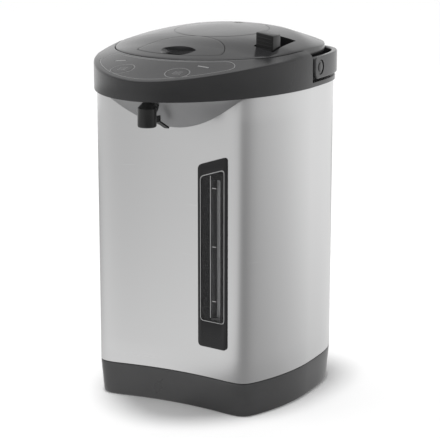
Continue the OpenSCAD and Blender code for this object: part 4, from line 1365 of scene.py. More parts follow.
    def build(self, panel: "ControlPanel") -> None:
        """Makes the collar, with the control panel's recess and holes cut in its crown.

        Args:
            panel: the control panel on its crown.
        """
        collar = self.skin()
        combine(collar, panel.recess())
        for hole in panel.holes(0.2, 315.0):
            combine(collar, hole)
        smooth(collar, 30)
        parts = self.fittings()
        for part in parts:
            smooth(part)
        weld(collar, *parts)
        settle(collar, "body", COLLAR, ["collar"])
        self.deck()


@dataclass
class ControlPanel:
    """The film on the beak, with its two touch buttons and two indicator lenses."""

    edge: float = 4.0
    lid_edge: float = 4.5
    half_angle: float = 38.0
    end_turn: float = 5.0
    reach_x: float = 96.0
    reach_y: Pair = (-150.5, -70.0)
    thickness: float = 0.7
    button_radius: float = 9.5
    ring_radius: float = 11.8
    ring_width: float = 0.8
    buttons: Tuple[Pair, ...] = ((-29.0, -126.0), (29.0, -126.0))
    lenses: Tuple[Pair, ...] = ((-44.0, -104.5), (44.0, -104.5))
    lens_size: Pair = (12.0, 3.0)

    def _front(self, a: np.ndarray, grow: float) -> np.ndarray:
        """The film's edge along the rim."""
        return flat_path(a, SHAPE.oval(a, grow - self.edge))

    def _rear(self, a: np.ndarray, grow: float) -> np.ndarray:
        """The film's edge along the lid."""
        return flat_path(a, SHAPE.lid_radius + self.lid_edge - grow)

    def outline(self, grow: float = 0.0) -> np.ndarray:
        """The film's outline in plan, with its rounded ends.

        Args:
            grow: how far outside the outline.

        Returns:
            x and y of each point.
        """
        side = math.degrees(grow / SHAPE.lid_radius)
        lo = math.radians(270 - self.half_angle - side)
        hi = math.radians(270 + self.half_angle + side)
        turn = math.radians(self.end_turn)

        def front(a: float) -> np.ndarray:
            """One point of the edge along the rim."""
            return self._front(np.array([a]), grow)[0]

        def rear(a: float) -> np.ndarray:
            """One point of the edge along the lid."""
            return self._rear(np.array([a]), grow)[0]

        low_mid, high_mid = ((front(a) + rear(a)) / 2 for a in (lo, hi))
        parts = [
            self._front(np.linspace(lo + turn, hi - turn, 61), grow),
            bend(front(hi - turn), front(hi), high_mid, 11)[1:],
            bend(high_mid, rear(hi), rear(hi - turn), 11)[1:],
            self._rear(np.linspace(hi - turn, lo + turn, 61), grow)[1:],
            bend(rear(lo + turn), rear(lo), low_mid, 11)[1:],
            bend(low_mid, front(lo), front(lo + turn), 11)[1:-1],
        ]
        return np.concatenate(parts)

    def slab(self, name: str, above: float, below: float) -> Piece:
        """The crown's skin over the beak, from above it to below it.

        Args:
            name: the piece's name.
            above: how far above the crown it starts.
            below: how far below the crown it ends.

        Returns:
            The slab.
        """
        xs, ys = np.linspace(-self.reach_x, self.reach_x, 129), np.linspace(*self.reach_y, 65)
        reach = SHAPE.beak_y(xs, 0.0)
        sections = []
        for y in ys:
            line = np.full(xs.shape, y)
            row = np.maximum(line, np.where(np.isfinite(reach), reach, y) - 1.0)
            z = SHAPE.crown(xs, row)
            upper, lower = (np.stack([xs, line, z + up], axis=-1) for up in (above, -below))
            sections.append(np.concatenate([upper, lower[::-1]]))
        return loft(name, np.array(sections))

    def recess(self) -> Piece:
        """The tool that cuts the film's bed."""
        bed = self.slab("bed", 4.0, 0.8)
        return combine(bed, prism("bed_edge", self.outline(0.1), 300, CLEAR_OF_POT), Fit.KEEP)

    def holes(self, grow: float, low: float) -> List[Piece]:
        """The tools that cut room for the buttons and the lenses.

        Args:
            grow: how much wider each is than its piece.
            low: the height that they start at.

        Returns:
            One tool for each hole.
        """
        tools = [rod("button_hole", self.button_radius + grow, (x, y, low), 60) for x, y in self.buttons]
        w, d = (size / 2 + grow - 0.1 for size in self.lens_size)
        tools += [box("lens_hole", (x - w, y - d, low), (x + w, y + d, low + 60)) for x, y in self.lenses]
        return tools

    def cap(self, name: str, outline: np.ndarray, above: float, below: float) -> Piece:
        """A thin piece of the crown inside an outline."""
        skin = self.slab(name, above, below)
        return combine(skin, prism("edge", outline, 300, CLEAR_OF_POT), Fit.KEEP)

    def band(self, name: str, outer: np.ndarray, inner: np.ndarray, above: float) -> Piece:
        """A thin line between two outlines: print, or a painted highlight."""
        line = self.cap(name, outer, above, 0.15)
        return combine(line, prism("inside", inner, 300, CLEAR_OF_POT))

    def stroke(self, x: float, y: float) -> np.ndarray:
        """A short wavy stroke of a button's mark.

        Args:
            x: its middle across.
            y: its middle fore and aft.

        Returns:
            x and y of each point.
        """
        t = np.linspace(-1, 1, 15)
        mid = y + 0.7 * np.sin(t * math.pi)
        lower, upper = (np.stack([x + 4 * t, mid + side], -1) for side in (-0.35, 0.35))
        return np.concatenate([lower, upper[::-1]])

    def build(self) -> None:
        """Makes the film, its painted edge highlight, its printed rings and marks, the buttons and the
        lenses.
        """
        film = self.cap("panel_film", self.outline(0.0), 0.0, self.thickness)
        for hole in self.holes(0.15, 300.0):
            combine(film, hole)
        smooth(film, 30)
        settle(film, "body", FILM, ["control_film"])
        # A painted highlight along the film's edge, drawn as a light line.
        line = self.band("panel_edge_highlight", self.outline(-0.2), self.outline(-1.0), 0.05)
        settle(line, "body", PANEL_PRINT_AND_HIGHLIGHT)
        circle = around(72)
        prints = []
        for name, (x, y) in zip(("reboil", "dispense"), self.buttons):
            disc = flat_path(circle, self.button_radius, (x, y))
            button = self.cap(f"{name}_cap", disc, 0.05, 4.0)
            foot = rod("foot", 2.5, (x, y, 328.5), float(SHAPE.crown(x, y)) - 331.0, sides=32)
            smooth(button, 30)
            weld(button, foot)
            settle(button, f"{name}_button", FILM, [f"{name}_button"])
            outer, inner = (flat_path(circle, self.ring_radius - w, (x, y)) for w in (0.0, self.ring_width))
            prints.append(self.band("button_rings", outer, inner, 0.05))
            rows = (y + shift for shift in (-2.6, 0.0, 2.6))
            marks = [self.cap(f"{name}_mark", self.stroke(x, row), 0.1, 0.1) for row in rows]
            weld(*marks)
            settle(marks[0], f"{name}_button", PANEL_PRINT_AND_HIGHLIGHT)
        weld(*prints)
        settle(prints[0], "body", PANEL_PRINT_AND_HIGHLIGHT)
        w, d = (size / 2 - 0.2 for size in self.lens_size)
        bars = []
        for x, y in self.lenses:
            shape = oblong((x - w, x + w), (y - d, y + d))
            bars.append(soften_edges(self.cap("indicator_bars", shape, 0.05, 3.5), 0.3, angle=60))
        weld(*bars)
        settle(bars[0], "body", BARS, ["indicator_lenses"])


# ---------------------------------------------------------------- lid


@dataclass
class Lid:
    """The round lid with its press plate, steam cover and the recess of the latch."""

    press_centre: Pair = (0.0, -60.0)
    press_front: float = 86.0
    press_rear: float = 46.0
    press_back: float = -32.0
    press_power: float = 22.0
    bowl: float = 36.0
    dish: float = 18.5
    dish_forward: float = 10.0
    dish_run: float = 16.0
    arch: float = 27.0
    arch_back: float = 6.5
    steam_y: float = 14.5
    steam_radius: float = 46.5
    vent_y: float = 50.5
    vent_size: Pair = (0.75, 4.5)
    vent_low: float = 341.0
    tray: Tuple[float, float, float, float] = (60.5, 81.5, -36.0, 13.0)
    tray_z: float = 336.0
    press_gap: float = 0.5
    press_low: float = 335.0
    steam_gap: float = 0.3
    steam_bed: float = 337.5
    steam_low: float = 338.0
    knuckle_room: Block = ((-10, 68.5, 300), (10, 120, CLEAR_OF_POT))
    tail_way: Block = ((73.5, -30, 300), (80.5, -18, CLEAR_OF_POT))
    hub_radius: float = 19.0
    hub_low: float = 335.9
    hub_height: float = 8.0
    barrel: float = 5.0
    sides: int = 480

    def press_radius(self, a: np.ndarray, grow: float) -> np.ndarray:
        """Radius of the half-moon plate about its own middle.

        Args:
            a: directions in radians.
            grow: how far outside the outline.

        Returns:
            One radius for each direction.
        """

        def ray(centre_y: float, r: float) -> np.ndarray:
            """Distance to a circle in each direction.

            Args:
                centre_y: where the circle's middle lies.
                r: its radius.

            Returns:
                One distance for each direction.
            """
            off = centre_y - self.press_centre[1]
            along = off * np.sin(a)
            return along + np.sqrt(along**2 - off**2 + r * r)

        front = ray(0.0, self.press_front + grow)
        rear = ray(self.press_back - self.press_rear, self.press_rear + grow)
        n = self.press_power
        return (front**-n + rear**-n) ** (-1 / n)

    def press_outline(self, grow: float) -> np.ndarray:
        """The half-moon in plan."""
        a = around(240)
        return flat_path(a, self.press_radius(a, grow), self.press_centre)

    @staticmethod
    def dome(
        name: str, centre: Pair, radius: np.ndarray, low: float, round_edge: float, a: np.ndarray, steps: int
    ) -> Piece:
        """A block under the crown, with a rounded upper edge.

        Args:
            name: the piece's name.
            centre: the middle that its rings shrink to.
            radius: the outline about that middle.
            low: the height of its underside.
            round_edge: how far its upper edge is rounded.
            a: the directions of the outline.
            steps: how many rings cross the top.

        Returns:
            The closed block.
        """
        cx, cy = centre

        def ring(share: np.ndarray, inset: float, z: Optional[float], drop: float) -> np.ndarray:
            """One ring, at a height or on the crown.

            Args:
                share: how much of the outline's radius it has.
                inset: how far inside it lies.
                z: its height, or None for the crown's.
                drop: how far below the crown it lies.

            Returns:
                x, y and z of each point.
            """
            r = radius * share - inset
            x, y = cx + r * np.cos(a), cy + r * np.sin(a)
            height = SHAPE.crown(x, y) - drop if z is None else np.full(a.shape, z)
            return np.stack([x, y, height], axis=-1)

        rings = [ring(np.zeros(1), 0.0, low, 0), ring(np.ones(1), 0.0, low, 0)]
        for t in (0.0, 0.3, 0.65, 1.0):
            angle = t * math.pi / 2
            inset, drop = round_edge * (1 - math.cos(angle)), round_edge * (1 - math.sin(angle))
            rings.append(ring(np.ones(1), inset, None, drop))
        for k in range(1, steps + 1):
            share = 1 - k / steps
            rings.append(ring(np.array([share]), round_edge * share, None, 0.0))
        return loft(name, np.array(rings), fill=False)

    def cover(self) -> None:
        """The lid's cover, with its openings and its half of the hinge."""
        a = around(self.sides)
        lid = self.dome("lid_dome", (0.0, 0.0), SHAPE.lid(a), SHAPE.lid_low, 0.5, a, 30)
        rear = box("rear", (-120, SHAPE.hinge_y, 300), (120, 140, CLEAR_OF_POT))
        combine(rear, rod("barrel", self.barrel, (-110, SHAPE.hinge_y, SHAPE.hinge_z), 220, "x"))
        combine(lid, rear)
        combine(lid, box("knuckle_room", *self.knuckle_room))
        combine(lid, prism("press_way", self.press_outline(self.press_gap), 300, CLEAR_OF_POT))
        circle = around(192)
        hole = flat_path(circle, self.steam_radius + self.steam_gap, (0.0, self.steam_y))
        combine(lid, prism("steam_way", hole, self.steam_bed, CLEAR_OF_POT))
        x0, x1, y0, y1 = self.tray
        combine(lid, box("tray", (x0, y0, self.tray_z), (x1, y1, CLEAR_OF_POT)))
        combine(lid, box("tail_way", *self.tail_way))
        smooth(lid, 30)
        settle(lid, "lid", LID, ["lid_cover"])

    def press(self) -> None:
        """The half-moon plate with its thumb dish and the hub of the bellows."""
        a = around(240)
        radius = self.press_radius(a, 0.0)
        plate = self.dome("press_half_moon", self.press_centre, radius, self.press_low, 0.35, a, 26)
        y = self.press_centre[1] - self.dish_forward
        slope = float(SHAPE.crown(0, y) - SHAPE.crown(0, y - self.dish_run)) / self.dish_run
        reach = math.sqrt(self.bowl**2 - self.dish**2) / math.hypot(slope, 1)
        middle = to_frame(np.array([0, y - slope * reach, float(SHAPE.crown(0, y)) + reach]))
        deselect()
        bpy.ops.mesh.primitive_uv_sphere_add(
            segments=128, ring_count=96, radius=self.bowl * MM, location=middle
        )
        bowl = bpy.context.active_object
        bpy.ops.object.transform_apply(location=True, rotation=True, scale=True)
        combine(bowl, rod("arch", self.arch, (0, y + self.arch_back - self.arch, 280), 180), Fit.KEEP)
        combine(plate, bowl)
        smooth(plate, 30)
        hub = rod("hub", self.hub_radius, (0, self.press_centre[1], self.hub_low), self.hub_height)
        weld(plate, hub)
        settle(plate, "press", LID, ["press_plate"])

    def steam(self) -> None:
        """The oval cover over the steam passage, with its three vents."""
        a = around(240)
        radius = np.full(a.shape, self.steam_radius)
        cover = self.dome("steam_lid", (0.0, self.steam_y), radius, self.steam_low, 0.35, a, 22)
        w, d = self.vent_size
        for x in (-3, 0, 3):
            low = (x - w, self.vent_y - d, self.vent_low)
            combine(cover, box("vent", low, (x + w, self.vent_y + d, CLEAR_OF_POT)))
        smooth(cover, 30)
        settle(cover, "lid", LID, ["steam_cover"])

    def build(self) -> None:
        """Makes all of the lid's outer pieces."""
        self.cover()
        self.press()
        self.steam()


@dataclass
class PumpFolds:
    """The rubber folds and the spring of the hand pump."""

    centre: Pair = (0.0, -60.0)
    top: float = 334.9
    radius: float = 22.0
    depth: float = 5.0
    wall: float = 1.0
    folds: int = 4
    coil: float = 11.0
    wire: float = 0.8
    turns: int = 4
    travel: float = 10.1

    def press(self, piece: Piece, low: float, high: float) -> None:
        """Gives a piece its own copy of its mesh.

        Args:
            piece: the piece.
            low: where it stands.
            high: not used.
        """
        x, y, z = to_frame(np.array([self.centre[0], self.centre[1], low]))
        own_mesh(piece)

    def build(self) -> None:
        """Makes the folds and the spring, from the tray up to the plate's hub."""
        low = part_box("bellows")[0][2] / MM
        high = self.top
        half = (high - low) / (2 * self.folds)
        levels = range(2 * self.folds + 1)
        outer = [(self.radius - (0 if k % 2 else self.depth), low + k * half) for k in levels]
        profile = outer + [(r - self.wall, z) for r, z in reversed(outer)]
        a = around(96)
        middle = np.array([*self.centre, 0.0])
        rings = np.array([polar(a, r, z) + middle for r, z in profile])
        folds = loft("pump_folds", rings, loop=True)
        smooth(folds, 20)
        settle(folds, "lid", RUBBER, ["bellows"])
        self.press(folds, low, high)
        steps = 40 * self.turns
        circle = np.linspace(0, 2 * math.pi, 12, endpoint=False)
        sections = []
        for k in range(steps + 1):
            turn = 2 * math.pi * self.turns * k / steps
            z = low + self.wire + (high - low - 2 * self.wire) * k / steps
            r = self.coil + self.wire * np.cos(circle)
            x = self.centre[0] + r * math.cos(turn)
            y = self.centre[1] + r * math.sin(turn)
            sections.append(np.stack([x, y, z + self.wire * np.sin(circle)], axis=-1))
        spring = loft("pump_spring", np.array(sections))
        smooth(spring, 60)
        settle(spring, "lid", BOLT_STEEL, ["bellows_spring"])
        self.press(spring, low, high)


@dataclass
class ReleaseLever:
    """The raised block that lets go of the lid, with its ribbed front."""

    x: Pair = (62.0, 80.0)
    y: Pair = (-34.0, -10.0)
    low: float = 337.0
    top: float = 363.0
    tip: float = 9.5
    pivot_y: float = -22.0
    heel_z: float = 336.2
    travel: float = 22.0
    back_y: float = -17.5
    back_z: float = 348.0
    pivot_z: float = 340.0
    barrel: float = 3.5
    tail: Block = ((74.3, -24.4, 317.8), (79.7, -20.5, 338))
    hook: Block = ((74.3, -24.4, 317.8), (79.7, -17.3, 321))
    ribs: int = 5
    rib_start: float = 3.2
    rib_step: float = 3.3
    rib_inset: float = 1.4
    rib_section: Tuple[Pair, ...] = ((0.4, 0.0), (-0.5, -0.4), (-0.5, -1.3), (0.4, -1.7))

    def top_at(self, x: float) -> float:
        """Height of the sloping top at x."""
        return self.top - (x - self.x[0]) * math.tan(math.radians(self.tip))

    def block(self) -> Piece:
        """The block, with its sloping top, its heel and the clearance below it.

        Returns:
            The block.
        """
        y0, y1 = self.y
        turn = math.tan(math.radians(self.travel))
        start = self.pivot_y + (self.low - self.heel_z) / turn
        under = self.heel_z + (y1 - self.pivot_y) * turn
        sections = []
        for x in self.x:
            top = self.top_at(x)
            corners = [(y0, self.low), (start, self.low), (y1, under), (y1, under + 3)]
            corners += [(self.back_y, self.back_z), (self.back_y, top), (y0, top)]
            sections.append([(x, y, z) for y, z in corners])
        return soften_edges(loft("release_block", np.array(sections)), 1.0, 3, 30)

    def build(self) -> None:
        """Makes the block, its ribbed front and the tail with its hook."""
        block = self.block()
        pivot = (self.x[0], self.pivot_y, self.pivot_z)
        barrel = rod("barrel", self.barrel, pivot, self.x[1] - self.x[0], "x", 48)
        tail, hook = box("tail", *self.tail), box("hook", *self.hook)
        smooth(block, 20)
        weld(block, barrel, tail, hook)
        settle(block, "lever", LEVER, ["release_lever"])
        bars = []
        for k in range(self.ribs):
            sections = []
            for x in (self.x[0] + self.rib_inset, self.x[1] - self.rib_inset):
                z = self.top_at(x) - self.rib_start - k * self.rib_step
                sections.append([(x, self.y[0] + out, z + up) for out, up in self.rib_section])
            bars.append(soften_edges(loft("lever_grip", np.array(sections)), 0.2, 2))
        weld(*bars)
        smooth(bars[0], 40)
        # The ribs take the lighter copy of the lever's plastic, a painted highlight.
        settle(bars[0], "lever", HIGHLIT_RIB)


# ---------------------------------------------------------------- bail


@dataclass
class Bail:
    """The folding handle: a band round the back, with two dimpled ears."""

    outer: float = 3.0
    inner: float = -2.0
    low: float = 316.25
    height: float = 21.5
    front: float = 0.4
    low_round: float = 8.5
    high_round: float = 4.5
    edge: float = 1.5
    pivot: Pair = (13.5, 327.0)
    head: float = 6.6
    disc: float = 0.7
    cap_inset: float = 2.2
    cap_height: float = 1.1
    pin: float = 4.0
    pin_start: float = 91.5
    dimple: float = 1.4

    def section(self, a: float, d: float) -> np.ndarray:
        """The band's rounded section, d behind the end of its ear.

        Args:
            a: the direction in radians.
            d: how far behind the ear's end, in millimetres.

        Returns:
            x, y and z of each point.
        """

        def corner(r: float) -> float:
            """How much a rounded end corner takes off."""
            return r - math.sqrt(max(r * r - (r - min(d, r)) ** 2, 0))

        nose = corner(self.edge)
        low = self.low + max(corner(self.low_round), nose)
        high = self.low + self.height - max(corner(self.high_round), nose)
        inset = min(nose, 1.2)
        u0, u1 = self.inner + inset, self.outer - inset
        e = min(self.edge * 0.999, (u1 - u0) / 2 - 0.01)
        flat = np.concatenate(
            [
                bend((u1, low + e), (u1, low), (u1 - e, low), 6),
                bend((u0 + e, low), (u0, low), (u0, low + e), 6),
                bend((u0, high - e), (u0, high), (u0 + e, high), 6),
                bend((u1 - e, high), (u1, high), (u1, high - e), 6),
            ]
        )
        r = np.array([float(SHAPE.oval(np.array([a]), grow)[0]) for grow in flat[:, 0]])
        return polar(a, r, flat[:, 1])

    def band(self) -> Piece:
        """The band from one ear round the back to the other.

        Returns:
            The band.
        """
        reach = SHAPE.half_width + self.outer
        near = [0.0, 0.15, 0.4, 0.8, 1.3, 1.9, 2.7, 3.7, 5.0, 6.5, 8.0, 9.5, 12.0, 15.0]
        start = [math.atan2(self.front + d, reach) for d in near]
        far = list(np.linspace(start[-1], math.pi - start[-1], 221)[1:-1])
        angles = start + far + [math.pi - a for a in start[::-1]]
        depths = near + [99.0] * len(far) + near[::-1]
        return loft("bail_band", np.array([self.section(a, d) for a, d in zip(angles, depths)]))

    def build(self) -> None:
        """Makes the band and its pivots."""
        band = self.band()
        y, z = self.pivot
        face = SHAPE.half_width + self.outer
        for x in (face - self.dimple, -face - 10 + self.dimple):
            combine(band, rod("dimple", self.head + 0.6, (x, y, z), 10, "x"))
        smooth(band, 30)
        settle(band, "handle", BAIL, ["handle"])
        heads = []
        for side in (1, -1):
            x = side * (face - self.dimple)
            starts = (x, x + 0.2, self.pin_start) if side > 0 else (x - self.disc, x - 1.3, x)
            head = rod("bail_pivots", self.head, (starts[0], y, z), self.disc, "x")
            cap = rod("cap", self.head - self.cap_inset, (starts[1], y, z), self.cap_height, "x")
            pin = rod("pin", self.pin, (starts[2], y, z), face - self.dimple - self.pin_start, "x", 48)
            soften_edges(head, 0.4, 3)
            soften_edges(cap, 0.35, 3)
            heads += [head, cap, pin]
        for part in heads:
            smooth(part)
        weld(*heads)
        settle(heads[0], "handle", BAIL, ["handle_pivots"])


# ---------------------------------------------------------------- level gauge


@dataclass
class Gauge:
    """The level gauge: dark bezel, clear window, printed frame and marks."""

    x: Pair = (28.5, 61.5)
    low: float = 65.0
    height: float = 177.0
    slant: float = 11.0
    rise: float = 1.2
    corner: float = 4.5
    back: float = 0.06
    bed_back: float = 0.5
    pane_back: float = 0.62
    line_back: float = 0.9
    mark_back: float = 0.7
    slab_y: Pair = (-120.0, -70.0)
    slab_z: Pair = (50.0, 270.0)
    bed: Tuple[float, ...] = (3.5, 26.0, 11.0)
    pane: Tuple[float, ...] = (3.7, 26.2, 11.2)
    line_outer: Tuple[float, ...] = (2.6, 25.6, 10.4, 4.2)
    line_inner: Tuple[float, ...] = (3.2, 26.2, 11.0, 3.7)
    slot: Block = ((43.0, -130, 92), (54.0, -60, 230))
    marks: Tuple[float, ...] = (221.5, 165.0, 111.7)
    mark_x: Pair = (45.2, 49.4)
    mark_half: float = 0.4
    stripe_x: Pair = (42.6, 43.2)
    stripe_z: Pair = (95.0, 233.0)

    def outline(self, side: float, low: float, high: float, r: Optional[float] = None) -> np.ndarray:
        """The bezel's outline, or one inside it.

        Args:
            side: how far inside at the sides.
            low: how far inside at the lower edge.
            high: how far inside at the upper edge.
            r: the corners' radius.

        Returns:
            x and z of each corner point.
        """
        r = self.corner if r is None else r
        x0, x1 = self.x[0] + side, self.x[1] - side
        z0, z1 = self.low + low, self.low + self.height - high
        rise = self.slant * (x1 - x0) / (self.x[1] - self.x[0])
        lean = r * rise / (x1 - x0)
        return np.concatenate(
            [
                bend((x0, z0 + r), (x0, z0), (x0 + r, z0), 9),
                bend((x1 - r, z0), (x1, z0), (x1, z0 + r), 9),
                bend((x1, z1 + rise - r), (x1, z1 + rise), (x1 - r, z1 + rise - lean), 9),
                bend((x0 + r, z1 + lean), (x0, z1), (x0, z1 - r), 9),
            ]
        )

    def slab(self, name: str, back: float, front: float) -> Piece:
        """The slice of space between two distances ahead of the hollow face.

        Args:
            name: the piece's name.
            back: the distance of its rear.
            front: the distance of its front.

        Returns:
            The slab.
        """
        xs = np.linspace(self.x[0] - 3, self.x[1] + 3, 81)
        y0, y1 = SHAPE.face_y(xs) - front, SHAPE.face_y(xs) - back
        low, high = self.slab_z
        sections = [[(x, f, low), (x, f, high), (x, b, high), (x, b, low)] for x, f, b in zip(xs, y0, y1)]
        return loft(name, np.array(sections))

    def plate(self, name: str, outline: np.ndarray, back: float, front: float) -> Piece:
        """A curved plate with an outline."""
        return combine(self.slab(name, back, front), prism("edge", outline, *self.slab_y, "y"), Fit.KEEP)

    def build(self) -> None:
        """Makes the gauge's pieces."""
        bezel = self.plate("gauge_bezel", self.outline(0, 0, 0), self.back, self.rise)
        combine(bezel, self.plate("bed", self.outline(*self.bed), self.bed_back, 5.0))
        combine(bezel, box("slot", *self.slot))
        soften_edges(bezel, 0.3, 2, 50)
        smooth(bezel, 30)
        settle(bezel, "body", DARK_GLOSS, ["gauge_panel"])
        window = self.plate("gauge_pane", self.outline(*self.pane), self.pane_back, self.rise - 0.05)
        smooth(window, 30)
        settle(window, "body", WINDOW, ["gauge_window"])
        outer = self.outline(*self.line_outer)
        line = self.plate("gauge_frame_line", outer, self.line_back, self.rise + 0.06)
        combine(line, prism("inside", self.outline(*self.line_inner), *self.slab_y, "y"))
        settle(line, "body", PRINT)
        fields = [(self.mark_x, (z - self.mark_half, z + self.mark_half)) for z in self.marks]
        fields.append((self.stripe_x, self.stripe_z))
        ticks = []
        for across, upright in fields:
            ticks.append(self.plate("gauge_marks", oblong(across, upright), self.mark_back, self.rise + 0.02))
        weld(*ticks)
        settle(ticks[0], "body", PRINT)


# ---------------------------------------------------------------- spout


@dataclass
class Spout:
    """The nozzle below the beak, and the pipe that brings it water."""

    y: float = -131.3
    low: float = 282.4
    top: float = 300.3
    radius: float = 8.8
    cone: float = 5.6
    neck: float = 3.0
    bore: float = 6.1
    pipe_radius: float = 6.0
    pipe_end: float = -87.8
    spigot_radius: float = 3.0
    spigot_turn: float = 18.9
    spigot_run: Pair = (3.0, 14.0)
    pipe_z: float = 298.0
    ear_x: Pair = (-5.6, 3.2)
    ear_width: float = 2.4
    ear_end: float = -115.8
    ear_z: Pair = (285.5, 291.5)
    route: Tuple[Pair, ...] = (
        (-131.3, 296.8),
        (-126.0, 297.0),
        (-122.3, 299.0),
        (-120.9, 303.0),
        (-120.0, 308.5),
        (-116.5, 312.0),
        (-111.5, 311.6),
        (-107.0, 307.5),
        (-102.5, 301.5),
        (-97.0, 298.4),
        (-90.0, 298.0),
    )

    def elbow(self, name: str, grow: float) -> Piece:
        """The pipe that rises from the nozzle into the chin.

        Args:
            name: the piece's name.
            grow: how far outside the pipe.

        Returns:
            The closed pipe, its end in line with the hose.
        """
        line = curve_through([*self.route, (self.pipe_end, self.pipe_z)], 90)
        along = np.gradient(line, axis=0)
        along /= np.linalg.norm(along, axis=1)[:, None]
        a, r = around(48), self.pipe_radius + grow
        rings = [
            np.stack([r * np.cos(a), y - r * np.sin(a) * dz, z + r * np.sin(a) * dy], axis=-1)
            for (y, z), (dy, dz) in zip(line, along)
        ]
        return loft(name, np.array(rings))

    def spigot(self) -> Piece:
        """The short end that the hose is pushed on.

        Returns:
            The closed spigot.
        """
        turn = math.radians(self.spigot_turn)
        a, start = around(32), np.array([0.0, self.pipe_end - 6.0, self.pipe_z])
        ahead = np.array([math.cos(turn), math.sin(turn), 0.0])
        side, up = np.array([-math.sin(turn), math.cos(turn), 0.0]), np.array([0.0, 0.0, 1.0])
        ring = self.spigot_radius * (np.cos(a)[:, None] * side + np.sin(a)[:, None] * up)
        return loft("spigot", np.array([start + ahead * t + ring for t in self.spigot_run]))

    def build(self) -> None:
        """Makes the nozzle with its rounded lip, its shoulder and the ears of the cup lever."""
        a = around(96)
        r, bore, low, top = self.radius, self.bore, self.low, self.top
        tip = top + self.cone
        profile = [
            (self.neck - 1, tip + 1),
            (self.neck - 1, top - 1),
            (bore, top - 1),
            (bore, low + 0.6),
            *bend((bore, low + 0.6), (bore, low), (bore + 0.8, low), 4)[1:],
            *bend((r - 1.6, low), (r, low), (r, low + 1.6), 5),
            *bend((r, top - 1), (r, top), (r - 1, top + 0.95), 6),
            (self.neck + 0.4, tip),
            (self.neck, tip + 1),
        ]
        nozzle = wrap("spout_nozzle_cup", a, profile, (0.0, self.y, 0.0))
        smooth(nozzle, 40)
        z0, z1 = self.ear_z
        for x in self.ear_x:
            ear = box("ear", (x, self.y + 6, z0), (x + self.ear_width, self.ear_end, z1))
            weld(nozzle, soften_edges(ear, 0.5))
        settle(nozzle, "body", SPOUT_BLACK, ["spout_nozzle"])
        pipe = self.elbow("spout_elbow", 0.0)
        weld(pipe, self.spigot())
        smooth(pipe, 40)
        settle(pipe, "body", SPOUT_BLACK, ["spout_pipe"])


# ---------------------------------------------------------------- what stays as the frame has it


KEPT_PIECES: Dict[Finish, Tuple[str, ...]] = {
    BASE: ("bottom_plate",),
    RUBBER: ("feet", "pump_pad"),
    BOLT_STEEL: (
        "bottom_screws", "pump_motor", "impeller_pin", "cup_lever_pin", "board_screws", "lever_pin",
        "lever_spring", "hinge_pin", "liner_screws",
    ),
    TRAY: ("gauge_backing",),
    TUBE: ("sight_tube",),
    INNER_STEEL: ("inner_tank", "inner_lid"),
    SILICONE: ("tank_gasket", "inlet_hose", "lower_hose", "upper_hose", "lid_seal"),
    MAT: ("insulation_wrap",),
    HEATER: ("heater_plate", "thermostats"),
    BAND: ("band_heater",),
    LIGHT_PLASTIC: ("pump_housing", "pump_impeller", "lid_liner", "steam_tube"),
    LEVER_SPOUT: ("cup_lever",),
    BLACK: ("cup_switch", "power_socket"),
    BOARD: ("control_board", "main_board"),
    BRASS: ("socket_pins",),
    VALVE: ("air_valve",),
}


@dataclass
class Inside:
    """The pieces that keep the frame's own shape and get their finish here."""

    nodes: Dict[str, Piece] = field(default_factory=dict)
    split: float = 32.0

    def dress(self, name: str, finish: Finish) -> None:
        """Gives one node its finish and shades its round faces smooth.

        Args:
            name: the node's name.
            finish: what it is made of.
        """
        node = self.nodes[name]
        if not node.material_slots:
            node.data.materials.append(finish.material())
        for slot in node.material_slots:
            slot.material = finish.material()
        node.data.polygons.foreach_set("use_smooth", [True] * len(node.data.polygons))
        join = node.modifiers.new("join", "WELD")
        join.merge_threshold = 1e-6
        edges = node.modifiers.new("edges", "EDGE_SPLIT")
        edges.split_angle = math.radians(self.split)

    def build(self) -> None:
        """Dresses every node that no new piece stands for."""
        for finish, names in KEPT_PIECES.items():
            for name in names:
                self.dress(name, finish)
            log.info("%s: %s", finish.name, ", ".join(names))


# ---------------------------------------------------------------- studio


